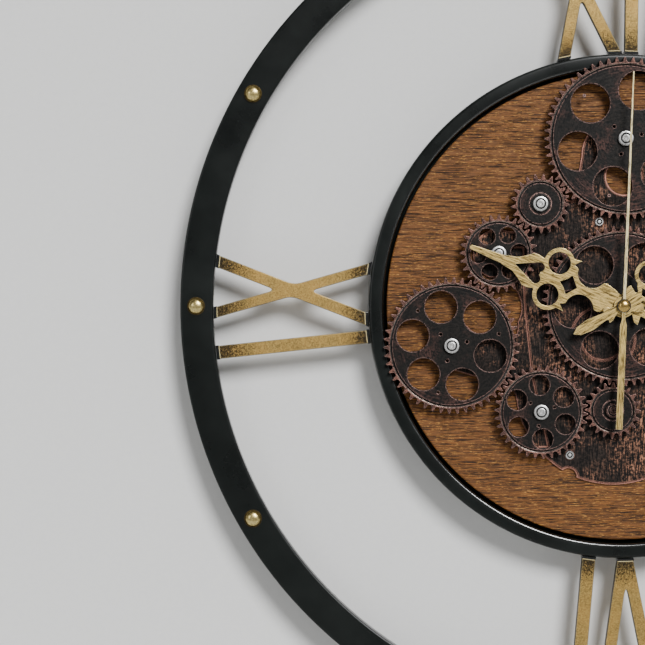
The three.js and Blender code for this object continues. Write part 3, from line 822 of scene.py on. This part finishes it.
# ---- gear train ----
def wheel(teeth, web, after=None, bearing=0, holes=(), pips=()):
    """A gear of so many teeth round a disc of radius `web`.

    It meshes with the gear that it comes after, and the bearing is the direction from that gear's
    axis to its own. The holes are given by their count, radius, circle and phase, and the pin
    holes round the cap, the pips, in the same way.
    """
    return Sizes(teeth=teeth, web=web, after=after, bearing=bearing, holes=holes, pips=pips)


TRAIN = {
    "centre": wheel(59, 50.7, holes=(6, 12.7, 33.4, 3.5)),
    "low": wheel(20, 14, "centre", 265.1),
    "low_left": wheel(34, 27.4, "low", 181.3, (6, 6.8, 18.4, 33.5), (3, 0.8, 9.5, 20)),
    "left": wheel(50, 41.2, "low_left", 143.5, (6, 10.9, 27.2, 45.5), (3, 1.0, 10.7, 14)),
    "upper_left": wheel(28, 21, "left", 63, (6, 5.4, 13.9, 4)),
    "upper_idler": wheel(21, 14.3, "upper_left", 50),
    "top": wheel(60, 50.7, "upper_idler", 37.5, (6, 13.2, 33.7, 15), (3, 1.0, 11.1, 14)),
    "upper_right": wheel(22, 15.2, "top", -33),
    "right": wheel(40, 32, "upper_right", -50, (6, 8, 21.5, 20), (3, 0.8, 10, 50)),
    "low_right": wheel(46, 37.4, "right", -100, (6, 9.6, 25, 10), (3, 0.9, 10.5, 40)),
}
MOTOR_GEAR = TRAIN["low_right"]
DARK_ARBOR = TRAIN["low"]
# The groove round a gear's disc: its outer edge lies `past` the disc's radius, but always leaves
# some metal under the teeth, and it takes its width from the disc.
GROOVE = Sizes(width=1.4, past=1.2, metal=0.9)


def lay_out():
    """Sets each gear's axis and first tooth, so that a tooth stands in a gap of its neighbour."""
    for gear in TRAIN.values():
        if not gear.after:
            gear.x, gear.y, gear.tooth_angle = 0.0, 0.0, 90.0
            continue
        driver = TRAIN[gear.after]
        reach = TOOTH.module * (driver.teeth + gear.teeth) / 2
        past = (gear.bearing - driver.tooth_angle) * driver.teeth / 360
        gear.x, gear.y = polar(reach, gear.bearing, driver.x, driver.y)
        gear.tooth_angle = gear.bearing + 180 - 360 / gear.teeth * (0.5 - past)


def toothed_outline(gear):
    pitch = TOOTH.module * gear.teeth / 2
    low, high = pitch - TOOTH.dedendum, pitch + TOOTH.addendum
    half_root, half_tip = TOOTH.root / 2, TOOTH.tip / 2
    corners = [(low, -half_root), (high, -half_tip), (high, half_tip), (low, half_root)]
    points = []
    for i in range(gear.teeth):
        middle = gear.tooth_angle + 360 * i / gear.teeth
        points += [polar(r, middle + math.degrees(side / r)) for r, side in corners]
    return rounded(points, TOOTH.corner)


def spread(count, radius, reach, phase, steps=40):
    """Round holes at even steps round the axis."""
    return [hole(*polar(reach, phase + 360 * i / count), radius, steps) for i in range(count)]


def gear(name, sizes):
    """A toothed ring and a web inside it, with a narrow groove between the two."""
    back, front = GEAR.back, GEAR.front
    bore = ARBOR.bore if sizes.after else GEAR.bore
    root = TOOTH.module * sizes.teeth / 2 - TOOTH.dedendum
    edge = min(sizes.web + GROOVE.past, root - GROOVE.metal)
    web = edge - GROOVE.width
    windows = spread(*sizes.holes) if sizes.holes else []
    if sizes.pips:
        count, radius, reach, phase = sizes.pips
        windows += spread(count, radius, reach, phase, 12)
        if web > 40:
            windows += spread(count, radius * 0.8, web * 0.815, phase, 12)
    lip = [(edge - 0.42, back + 0.3), (edge + 0.3, back + 0.3), (edge + 0.3, front - 0.3),
           (edge, front - 0.3), (edge - 0.42, front - 0.5)]
    piece = Piece(sizes.x, sizes.y)
    piece.add(slab([toothed_outline(sizes), hole(0, 0, edge, GEAR.steps)], back, front,
                   0.4, 0.25), TEETH)
    piece.add(lathe(lip, GEAR.steps), LIP)
    piece.add(slab([circle(0, 0, web, GEAR.steps), hole(0, 0, bore), *windows],
                   back + 0.4, front - 0.3, 0.4, 0.2), FACE)
    # Painted shade: a near-black ring under the groove, seen through it.
    piece.add(tube(edge + 0.6, web - 1.5, back + 0.1, front - 2.1, 0.2, GEAR.steps), PAINTED_SHADE)
    if not sizes.holes:
        piece.add(tube(web * 0.52, bore + 0.4, front - 0.6, front, 0.3), FACE)
    piece.place(f"gear_{name}", "gear_bronze", f"wheel_{name}")


def cap_profile():
    """A turned cap: a flat rim, a groove, a round boss and a centre dimple."""
    back = GEAR.front + GAP
    radius, height = ARBOR.cap, ARBOR.height
    front = back + height
    return [(radius, back), (radius, back + height * 0.62), (radius - 0.35, front - 0.45),
            (radius - 0.8, front - 0.3), (3.75, front - 0.3), (3.5, front - 1.2),
            (2.8, front - 1.2), (2.6, front - 0.15), (2.2, front), (1.5, front),
            (1.1, front - 0.5), (0, front - 0.6)]


def arbors():
    """Stepped pins that carry the gears, each with a turned cap in front of its gear.

    The centre gear has none, and the motor's gear sits on the motor's shaft, with the same cap.
    """
    cap = cap_profile()
    seat = cap[0][1]
    foot, base, under = BASE.back + 0.1, BASE.front + GAP, GEAR.back - GAP
    steps = [(0, foot), (ARBOR.spigot, foot), (ARBOR.spigot, base), (ARBOR.collar, base),
             (ARBOR.collar, under), (ARBOR.pivot, under), (ARBOR.pivot, seat)]
    shaft = [(0, MOTOR.shaft_back), (ARBOR.pivot, MOTOR.shaft_back), (ARBOR.pivot, seat)]
    for name, sizes in TRAIN.items():
        if not sizes.after:
            continue
        piece = Piece(sizes.x, sizes.y)
        # Painted shade: a near-black ring in the bottom of the cap's groove.
        piece.add(tube(3.6, 2.7, seat + 0.9, seat + 1.3, 0.1), PAINTED_SHADE)
        if sizes is MOTOR_GEAR:
            piece.add(lathe(shaft + cap, 64), STEEL)
            piece.place("motor_shaft", "polished_steel", f"wheel_{name}")
        else:
            dark = sizes is DARK_ARBOR
            piece.add(lathe(steps + cap, 64), FACE if dark else STEEL)
            piece.place(f"arbor_{name}", "gear_bronze" if dark else "polished_steel")


# ---- dial board and base plate ----
SCREW_SPOTS = [(-34.7, -101.4), (-14.6, 57.4)]
SHAFT_ROOM = 0.9  # free space round the motor's shaft
# Arms of the plate: the gear that each ends under, its end's radius and its root as x, y, radius.
LOBES = [("upper_idler", 14, (0, 0, 42)), ("upper_left", 17, (0, 0, 50)),
         ("left", 15.5, (-50, -44, 18)), ("upper_right", 14, (0, 0, 44)),
         ("right", 17, (0, 0, 50)), ("low_right", 20, (0, -12, 46))]
# The rest of the plate's shape, also as x, y and radius.
TOP_ARM = ((0, 36, 38), (-1, 103, 25.5))
LOW_LOBE = (-4.8, -55.1, 66.7)
LEFT_LOBE = (-22, -15, 48)
BITE = (-88, -1, 20.5)
NOTCH = (-35.5, -116.2, 5.6)
WINDOW = (2.4, 88.1, 12)
# The plate's left side is one layer lower, up to a ridge along these points.
RIDGE = [(-66, 40), (-65.2, 3), (-60.8, -39.9), (-59.9, -46.9), (-56.9, -61.4), (-49, -96),
         (-150, -96), (-150, 40)]
UPPER_INSET = 0.9  # how far the upper layer stands back from the lower one's edge
# Two low raised rings on the plate: their centre and their inner radii.
RELIEF = (-12, -22)
RELIEF_RADII = (14.6, 21.5)


def dial_board():
    loops = [circle(0, 0, BOARD.radius, LARGE_ROUND), hole(0, 0, GEAR.bore),
             hole(MOTOR_GEAR.x, MOTOR_GEAR.y, ARBOR.pivot + SHAFT_ROOM)]
    loops += [hole(*spot, SCREW.shank + GAP) for spot in SCREW_SPOTS]
    board = slab(loops, BOARD.back, BOARD.front, 0.8, 0.5)
    Piece().add(board, OAK).place("dial_board", "oak_veneer")


def base_plate():
    """Two layers of cast plate: the upper one stands back a little from the lower one's edge."""
    arms = [strap(root, (TRAIN[name].x, TRAIN[name].y, radius)) for name, radius, root in LOBES]
    arms.append(strap(*TOP_ARM))
    bores = [disc(0, 0, GEAR.bore), disc(MOTOR_GEAR.x, MOTOR_GEAR.y, ARBOR.pivot + SHAFT_ROOM)]
    bores += [disc(gear.x, gear.y, ARBOR.spigot + GAP) for gear in TRAIN.values()
              if gear.after and gear is not MOTOR_GEAR]
    bores += [disc(*spot, SCREW.shank + GAP) for spot in SCREW_SPOTS]
    shape = without(united(disc(*LOW_LOBE), disc(*LEFT_LOBE), *arms, blend=BASE.fillet), disc(*BITE),
                    disc(*NOTCH), disc(*WINDOW), *bores)
    upper = without(lambda px, py: shape(px, py) + UPPER_INSET, polygon(RIDGE))
    box = (-150, -150, 150, 150)
    middle = (BASE.back + BASE.front) / 2
    piece = Piece()
    piece.add(slab(traced(shape, box, 0.5, 0.02), BASE.back, middle + 0.1, 0.4), PLATE)
    piece.add(slab(traced(upper, box, 0.5, 0.02), middle - 0.1, BASE.front, 0.5), PLATE)
    piece.add(tube(BASE.boss, GEAR.bore, BASE.front - 0.2, BASE.boss_front, 0.4), PLATE)
    for radius in RELIEF_RADII:
        piece.add(tube(radius + 0.7, radius, BASE.front - 0.2, BASE.front + 0.35, 0.15, 96),
                  PLATE, at=RELIEF)
    piece.place("base_plate", "plate_bronze")


def plate_screws():
    """Ring-headed screws: a round groove, dark with painted shade, parts the rim from a lower
    middle.
    """
    seat = BASE.front + GAP
    head, height = SCREW.head, SCREW.height
    front = seat + height
    profile = [(0, seat - SCREW.length), (SCREW.shank, seat - SCREW.length),
               (SCREW.shank, seat), (head, seat), (head, front - 0.5), (head - 0.5, front),
               (head * 0.68, front), (head * 0.64, front - 0.9), (head * 0.4, front - 0.9),
               (head * 0.36, front - 0.2), (0, front - 0.1)]
    # Painted shade: a near-black ring in the bottom of the groove.
    groove = tube(head * 0.66, head * 0.38, front - 1, front - 0.75, 0.08)
    for i, spot in enumerate(SCREW_SPOTS):
        piece = Piece(*spot).add(lathe(profile, 48), STEEL).add(groove, PAINTED_SHADE)
        piece.place(f"plate_screw_{i + 1}", "polished_steel")


# ---- hands ----
# A hand is drawn along +y from its pivot, and its fields give its right half. "bite" is the
# round space that narrows its neck, "diamond" the low, middle and high corner of the opening
# below the rings and its half width, and "wing" the widest point of the fork beyond them.
HOUR = Sizes(
    heading=291.25, back=39, hub=8, bore=HOUR_PIPE.outer + GAP,
    tail=32, tail_width=6.4, barb=(8.6, -12.4), fan=(10.1, 16.3),
    bite=((12.7, 27.1, 9.7), (12.7, 27.2, 9.7)), arm=(13.4, 38.6),
    ring=(11.4, 50.4, 10.4, 7.5), horn=(18.2, 36.3), diamond=(33.5, 39.2, 45.8, 6.7),
    wing=(11.8, 67), heart_tip=78.3, tip=111, tip_radius=1.6,
)
MINUTE = Sizes(
    heading=60.5, back=42, hub=6.5, bore=MINUTE_PIPE.outer + GAP,
    tail=39.3, tail_width=8.4, barb=(5.5, -12.3), fan=(9.9, 10.4),
    bite=((13.4, 13.6, 2.7), (4.6, 12.4, 1.2)), arm=(9.5, 17.5),
    ring=(10, 25, 9.4, 6.7), horn=(19.5, 36.5), diamond=(14, 16.8, 21.2, 4.2),
    wing=(10.6, 40.5), heart_tip=51, tip=152, tip_radius=1.4,
)


def ornate_hand(hand):
    """The field of a hand, from its leaf-shaped tail to its pointed blade, with its openings."""
    aside, along, outer, inner = hand.ring
    fan_x, fan_y = hand.fan
    arm_x, arm_y = hand.arm
    horn_x, horn_y = hand.horn
    wing_x, wing_y = hand.wing
    low, middle, high, half = hand.diamond
    tail, width = hand.tail, hand.tail_width
    barb_x, barb_y = hand.barb
    heart_tip = hand.heart_tip
    top = along + outer
    neck = hand.bite[1][1]
    toward = math.degrees(math.atan2(horn_y - along, horn_x - aside))
    leaf = polygon([(0, -tail), (width * 0.36, -tail * 0.88), (width / 2, -tail * 0.66),
                    (width * 0.34, -tail * 0.42), (width * 0.3, -4), (0, -2)])
    barbs = polygon([(0, barb_y - 1), (barb_x, barb_y - 1.5), (barb_x * 0.9, barb_y + 1.6),
                     (2.5, barb_y + 5), (0, barb_y + 6)])
    fan = polygon([(0, 0), (5, 2.5), (fan_x * 0.8, fan_y * 0.5), (fan_x, fan_y - 1.2),
                   (fan_x * 0.96, fan_y + 1), (3, neck), (0, neck)])
    arms = polygon([(0, neck - 3), (3, neck - 3), (arm_x, arm_y), (arm_x, arm_y + 5),
                    (0, along - outer * 0.6)])
    horn = polygon([polar(outer - 1, toward - 14, aside, along), (horn_x, horn_y),
                    polar(outer - 1, toward + 14, aside, along)])
    web = polygon([(0, high - 3), (aside * 0.6, high - 2), (aside * 0.6, top - 4), (0, top - 0.5)])
    fork = polygon([(0, top - 2), (wing_x - 1.5, top - 1.5), (wing_x, wing_y - 1.5),
                    (wing_x - 0.3, wing_y + 2), (wing_x * 0.69, wing_y + 6.2),
                    (wing_x * 0.42, wing_y + 11.5), (3.2, heart_tip + 8), (0, heart_tip + 8)])
    blade = strap((0, heart_tip + 5, 3.3), (0, hand.tip - hand.tip_radius,
                                            hand.tip_radius))
    body = united(disc(0, 0, hand.hub), leaf, barbs, fan, blend=1.0)
    body = united(without(united(body, arms), strap(*hand.bite)),
                  disc(aside, along, outer), web, fork, blade, blend=1.2)
    diamond = polygon([(0, low), (half, middle), (half * 0.46, (middle + high) / 2 - 0.7),
                       (0, high)])
    heart = united(disc(4.1, top + 1, 3.2),
                   polygon([(0, top - 0.6), (4.1, top + 1), (7, top + 2.4), (0, heart_tip)]))
    return mirrored(without(united(body, horn, blend=0.5), disc(aside, along, inner), diamond,
                            heart))


def hands():
    for name, hand in (("hour", HOUR), ("minute", MINUTE)):
        box = (-24, -hand.tail - 3, 24, hand.tip + 3)
        loops = traced(ornate_hand(hand), box, 0.3) + [hole(0, 0, hand.bore)]
        flat = slab(loops, hand.back, hand.back + HAND_THICKNESS, 0.35, 0.2)
        Piece(turn=-hand.heading).add(flat, HAND).place(f"{name}_hand", "hand_gold", name)


def second_hand():
    """A thin pale blade, a darker weighted tail and a domed brass cap on a pin."""
    back = SECOND.back
    front = back + SECOND.thickness
    tail = -SECOND.tail
    blade = rounded([(-1.15, 0), (1.15, 0), (0.5, SECOND.front), (-0.5, SECOND.front)], 0.4)
    weight = rounded([(-2.25, tail), (2.25, tail), (2.25, -13), (1.2, -9.5), (1.2, 1), (-1.2, 1),
                      (-1.2, -9.5), (-2.25, -13)], 0.8)
    piece = Piece(turn=-SECOND.heading)
    piece.add(slab([blade], back, front, 0.2, 0.1), PALE)
    piece.add(slab([weight], back + 0.02, front - 0.02, 0.2, 0.1), HAND)
    # Painted shadow: a near-black ring round the foot of the cap.
    piece.add(tube(SECOND.cap + 0.45, 3, back - 0.25, front + 0.1, 0.15), PAINTED_SHADE)
    piece.add(dome(SECOND.cap, back + 0.1, SECOND.cap_height + 0.7, rim=0.4), BRASS)
    piece.add(turned_pin(SECOND.pin, SECOND.pin_back, back + 0.3, 0.15, 24), BRASS)
    piece.place("second_hand", "hand_gold", "second")


def pipes_and_nut():
    for name, pipe in (("hour", HOUR_PIPE), ("minute", MINUTE_PIPE)):
        wall = tube(pipe.outer, pipe.inner, pipe.back, pipe.front, 0.15, 48)
        Piece().add(wall, BRASS).place(f"{name}_pipe", "turned_brass", name)
    hexagon = rounded(circle(0, 0, NUT.corners / 2, 6), 0.7)
    nut = slab([hexagon, hole(0, 0, STEM.outer + GAP)], NUT.back, NUT.front, 0.4, 0.3)
    Piece().add(nut, BRASS).place("hand_nut", "turned_brass")


# ---- movement, motor and hanger, behind the dial board ----
def pan_head(piece, x, y, back, radius=1.9):
    """A small cross-recessed screw head, seen from behind."""
    piece.add(lathe([(0, back - 0.6), (radius, back - 0.6), (radius, back + 0.3),
                     (0, back + 0.3)], 24), STEEL, at=(x, y))
    # Painted shade: the cross recess is drawn as two near-black bars on the head.
    for width, height in ((radius * 1.3, 0.5), (0.5, radius * 1.3)):
        piece.add(slab([rectangle(0, 0, width, height)], back - 0.66, back - 0.5, 0), PAINTED_SHADE,
                  at=(x, y))


def movement_case():
    """A quartz movement's case, open at the back for its cell and its setting knob."""
    side, corner, front = MOVEMENT.side, MOVEMENT.corner, MOVEMENT.front
    half, near = side / 2, side / 2 - corner
    outline = rounded([(near, -half), (half, -near), (half, near), (near, half), (-near, half),
                       (-half, near), (-half, -near), (-near, -half)], 2)
    bay = rectangle(0, BAY.y, BAY.length, BAY.width, 1)[::-1]
    recess = hole(KNOB.x, KNOB.y, KNOB.radius + 1)
    shoulder = front - BAY.wall
    floor = KNOB.front + GAP
    piece = Piece()
    piece.add(slab([outline, bay, recess], 0, floor + 0.1, 0, 0.8), PLASTIC)
    # Painted shade: a near-black layer in the seam round the case, along the bay's walls and as the
    # floor of the knob's recess.
    piece.add(slab([inset(outline, 0.5), bay,
                    hole(KNOB.x, KNOB.y, KNOB.shaft + GAP)],
                   floor, floor + 1, 0), PAINTED_SHADE)
    piece.add(slab([outline, bay, hole(KNOB.x, KNOB.y, KNOB.shaft + GAP)],
                   floor + 0.8, shoulder + 0.1, 0), PLASTIC)
    piece.add(slab([outline, hole(0, 0, STEM.inner)], shoulder, front, 0.6), PLASTIC)
    threads = [(STEM.outer - (0.35 if i % 2 else 0), front - 0.5 + i * 0.5)
               for i in range(int((STEM.front - front) * 2) + 1)]
    piece.add(lathe([(STEM.inner, front - 0.5), *threads, (STEM.inner, STEM.front)], 48),
              BRASS)
    # The ribs are drawn in the near-black of painted shade.
    for x in (-20, -13, -6):
        rib = rectangle(x, 14, 2, 16, 0.8)
        piece.add(slab([rib], 0.05, 1.2, 0, 0.3), PAINTED_SHADE)
    for x, y in ((-23.5, 23.5), (23.5, 23.5), (-23.5, -4.5), (23.5, -4.5)):
        pan_head(piece, x, y, 0.7, 1.7)
    for x in (-25.2, 25.2):
        spring = rectangle(x, BAY.y, 0.5, 9, 0.2)
        piece.add(slab([spring], 2, shoulder - 1, 0.1, 0.1), ZINC)
    piece.place("movement_case", "black_plastic")


def set_knob():
    """A knurled thumb wheel with a raised ring on its back and a short shaft."""
    steps = 4 * KNOB.knurls
    outline = [polar(KNOB.radius - (KNOB.knurl_depth if i % 4 in (0, 3) else 0), 360 * i / steps)
               for i in range(steps)]
    piece = Piece(KNOB.x, KNOB.y)
    piece.add(slab([rounded(outline, 0.15)], KNOB.back + 0.3, KNOB.front, 0.4, 0.5), PLASTIC)
    piece.add(tube(KNOB.radius * 0.62, KNOB.radius * 0.48, KNOB.back, KNOB.back + 0.8,
                   0.2, 48), PLASTIC)
    piece.add(turned_pin(KNOB.shaft, KNOB.front - 0.3, KNOB.end, 0.2, 24), PLASTIC)
    piece.place("set_knob", "black_plastic", "knob")


def cell(node, x, y, z, turned):
    """An AA cell: dark jacket, copper-coloured shoulder band, bare steel ends and a nub."""
    radius, body = CELL.radius, CELL.body
    start = -(body + CELL.nub_length) / 2
    end = start + body
    split = start + body * CELL.jacket
    move = Matrix.Translation((0, 0, z)) @ turned
    piece = Piece(x, y)
    jacket = [(0, start + 0.3), (radius - 1.4, start + 0.3), (radius - 0.9, start),
              (radius - 0.3, start + 0.1), (radius, start + 0.6), (radius, split), (0, split)]
    band = [(0, split - 0.1), (radius - 0.02, split - 0.1), (radius - 0.02, end - 0.9),
            (radius - 0.5, end - 0.3), (radius - 1.2, end - 0.25), (0, end - 0.3)]
    nub = [(0, end - 0.6), (radius - 1.1, end - 0.6), (radius - 1.5, end - 0.05),
           (CELL.nub + 0.5, end), (CELL.nub, end + 0.2),
           (CELL.nub, end + CELL.nub_length - 0.4),
           (CELL.nub - 0.4, end + CELL.nub_length), (0, end + CELL.nub_length)]
    foot = [(0, start + 0.05), (radius - 1.6, start + 0.05), (radius - 1.4, start + 0.5),
            (0, start + 0.5)]
    for profile, segments, finish in ((jacket, 64, JACKET), (band, 64, CELL_BAND),
                                      (nub, 48, ZINC), (foot, 48, ZINC)):
        piece.add(lathe(profile, segments), finish, turned=move)
    piece.place(node, "cell_jacket")


def motor_unit():
    """The gear motor's case, its cell and the lid over the cell, which lifts off."""
    x, y = MOTOR_GEAR.x - MOTOR.shaft_off, MOTOR_GEAR.y
    lid_x = -MOTOR.width / 2 + 2 + COVER.width / 2
    back, front = MOTOR.back, MOVEMENT.front
    lid_front = back + COVER.thickness
    outline = rectangle(0, 0, MOTOR.width, MOTOR.height, 2.5, steps=5)
    seat = rectangle(lid_x, 0, COVER.width + 2 * GAP, COVER.height + 2 * GAP, 1.2)[::-1]
    bay = rectangle(lid_x, 0, BAY.width, BAY.length, 1)[::-1]
    shoulder = front - MOTOR.wall
    bore = hole(MOTOR.shaft_off, 0, ARBOR.pivot + 0.5)
    piece = Piece(x, y)
    piece.add(slab([outline, seat], back, lid_front + GAP + 0.1, 0, 0.7), PLASTIC)
    piece.add(slab([outline, bay], lid_front + GAP, 7.1, 0), PLASTIC)
    # Painted shade: a near-black layer in the seam round the case and along the bay's walls.
    piece.add(slab([inset(outline, 0.5), bay, bore], 7, 8, 0), PAINTED_SHADE)
    piece.add(slab([outline, bay, bore], 7.8, shoulder + 0.1, 0), PLASTIC)
    piece.add(slab([outline, bore], shoulder, front, 0.6), PLASTIC)
    # Painted shade: the vents are near-black bars on the back.
    for i in range(5):
        vent = rectangle(13, -8 + i * 4, 11, 1.4, 0.6)
        piece.add(slab([vent], back - 0.05, back + 0.4, 0), PAINTED_SHADE)
    for screw_y in (-27, 27):
        pan_head(piece, 18.5, screw_y, back + 0.1)
    for end in (-1, 1):
        spring = rectangle(lid_x, end * (BAY.length / 2 - 0.4), 9, 0.5, 0.2)
        piece.add(slab([spring], lid_front + 2, shoulder - 1, 0.1, 0.1), ZINC)
    piece.place("motor_case", "black_plastic")

    lid = Piece(x + lid_x, y)
    panel = rectangle(0, 0, COVER.width, COVER.height, 1)
    lid.add(slab([panel], back, lid_front, 0.1, 0.3), PLASTIC)
    for i in range(4):
        grip = rectangle(0, 18 + i * 1.8, 10, 0.8, 0.3)
        lid.add(slab([grip], back - 0.35, back + 0.1, 0, 0.15), PLASTIC)
    lid.place("motor_cell_cover", "black_plastic", "cover")

    axis = lid_front + GAP + CELL.radius
    cell("motor_cell", x + lid_x, y, axis, Matrix.Rotation(-math.pi / 2, 4, "X"))


def hanger():
    """A hat-shaped bracket: two feet on the board, two legs and a bridge with a keyhole."""
    low, high, thick = HANGER.low, HANGER.high, HANGER.thickness
    middle, height = (low + high) / 2, high - low
    seat = BOARD.back - GAP
    hat, foot, back = HANGER.hat, HANGER.foot, HANGER.back
    slot = KEYHOLE.slot / 2
    opening = united(strap((0, KEYHOLE.y, slot), (0, KEYHOLE.top - slot, slot)),
                     disc(0, KEYHOLE.y, KEYHOLE.radius))
    bridge = polygon(rectangle(0, middle, 2 * (hat + thick), height))
    loops = traced(without(bridge, opening), (-hat - 4, low - 2, hat + 4, high + 2), 0.4)
    piece = Piece()
    piece.add(slab(loops, back, back + thick, 0.3, 0.3), ZINC)
    for side in (-1, 1):
        leg = rectangle(side * (hat + thick / 2), middle, thick, height)
        piece.add(slab([leg], back + 0.2, seat - 0.1, 0), ZINC)
        spot = side * (hat + foot) / 2
        pad = rectangle(spot, middle, foot - hat, height, 1.2)
        piece.add(slab([pad], seat - thick, seat, 0.2, 0.3), ZINC)
        for y in (low + 5.5, high - 5.5):
            pan_head(piece, spot + side, y, seat - thick - 0.1, 2.4)
    piece.place("hanger_plate", "plated_steel")


lay_out()
outer_ring()
rivets()
inner_rim()
numerals()
dial_board()
base_plate()
plate_screws()
for gear_name, gear_sizes in TRAIN.items():
    gear(gear_name, gear_sizes)
arbors()
hands()
second_hand()
pipes_and_nut()
movement_case()
set_knob()
cell("movement_cell", 0, BAY.y, GAP + CELL.radius, Matrix.Rotation(math.pi / 2, 4, "Y"))
motor_unit()
hanger()


# ---- camera, lights and stage ----
CAMERA = Sizes(lens=126.3, sensor=36, far=60, spot=(-0.203, -1.568, -0.0112))
STAGE = Sizes(reach=6, wall_gap=0.0006, floor=-1.1)


def camera():
    data = bpy.data.cameras.new("camera")
    data.lens = CAMERA.lens
    data.sensor_width = CAMERA.sensor
    data.clip_end = CAMERA.far
    made = linked("camera", data)
    made.location = CAMERA.spot
    made.rotation_euler = (math.pi / 2, 0, 0)
    bpy.context.scene.camera = made


def light(name, kind, spot, size, power):
    """A disc of light `size` metres across, or a sun `size` degrees wide, facing the clock."""
    data = bpy.data.lights.new(name, kind)
    if kind == "SUN":
        data.angle = math.radians(size)
    else:
        data.shape = "DISK"
        data.size = size
    data.energy = power
    made = linked(name, data)
    made.location = spot
    made.rotation_mode = "QUATERNION"
    made.rotation_quaternion = (-Vector(spot)).to_track_quat("-Z", "Y")


def panel(name, corners, material):
    """A flat part of the stage, in metres."""
    mesh = bpy.data.meshes.new(name)
    mesh.from_pydata(corners, [], [(0, 1, 2, 3)])
    mesh.materials.append(material)
    linked(name, mesh)


def wall_paint():
    """Matt pale grey paint. The wall can't be seen from behind, and it throws no shadow."""
    it = Finish("wall_paint", Specular_IOR_Level=0.2)
    grain = it.noise(260, detail=4)
    it.bump(grain, 0.05, 0.3)
    it.base(grain, 0.3, 0.7, "dededd", "e1e1e0")
    it.done(0.85)
    back = it.node("NewGeometry").outputs["Backfacing"]
    shadow = it.node("LightPath").outputs["Is Shadow Ray"]
    open_side = it.math("MAXIMUM", back, shadow)
    clear = it.node("BsdfTransparent")
    both = it.node("MixShader", {0: open_side})
    it.plug(both.inputs[1], it.shader.outputs[0])
    it.plug(both.inputs[2], clear.outputs[0])
    output = it.tree.nodes["Material Output"]
    it.plug(output.inputs["Surface"], both.outputs[0])
    return it.material


def floor_paint():
    """Plain pale grey, matt."""
    it = Finish("floor_paint", Specular_IOR_Level=0.2)
    grain = it.noise(90, detail=4)
    it.base(grain, 0.3, 0.7, "cfcfcd", "d6d6d4")
    return it.done(0.9)


def stage():
    """The wall behind the clock, the floor and an even, dim sky."""
    reach, gap, floor = STAGE.reach, STAGE.wall_gap, STAGE.floor
    panel("wall", [(-reach, gap, floor), (reach, gap, floor), (reach, gap, reach),
                   (-reach, gap, reach)], wall_paint())
    panel("floor", [(-reach, -reach, floor), (reach, -reach, floor), (reach, reach, floor),
                    (-reach, reach, floor)], floor_paint())
    world = bpy.data.worlds.new("studio")
    world.use_nodes = True
    sky = world.node_tree.nodes["Background"].inputs
    sky["Color"].default_value = tint("e6e8ea")
    sky["Strength"].default_value = 0.2
    bpy.context.scene.world = world


camera()
light("key", "SUN", (0.95, -2.6, 1.5), 20, 3.9)
light("fill", "AREA", (-1.8, -2.4, 0.4), 1.2, 8)
light("rear", "AREA", (0.6, 2.4, 1.2), 1.6, 40)
stage()
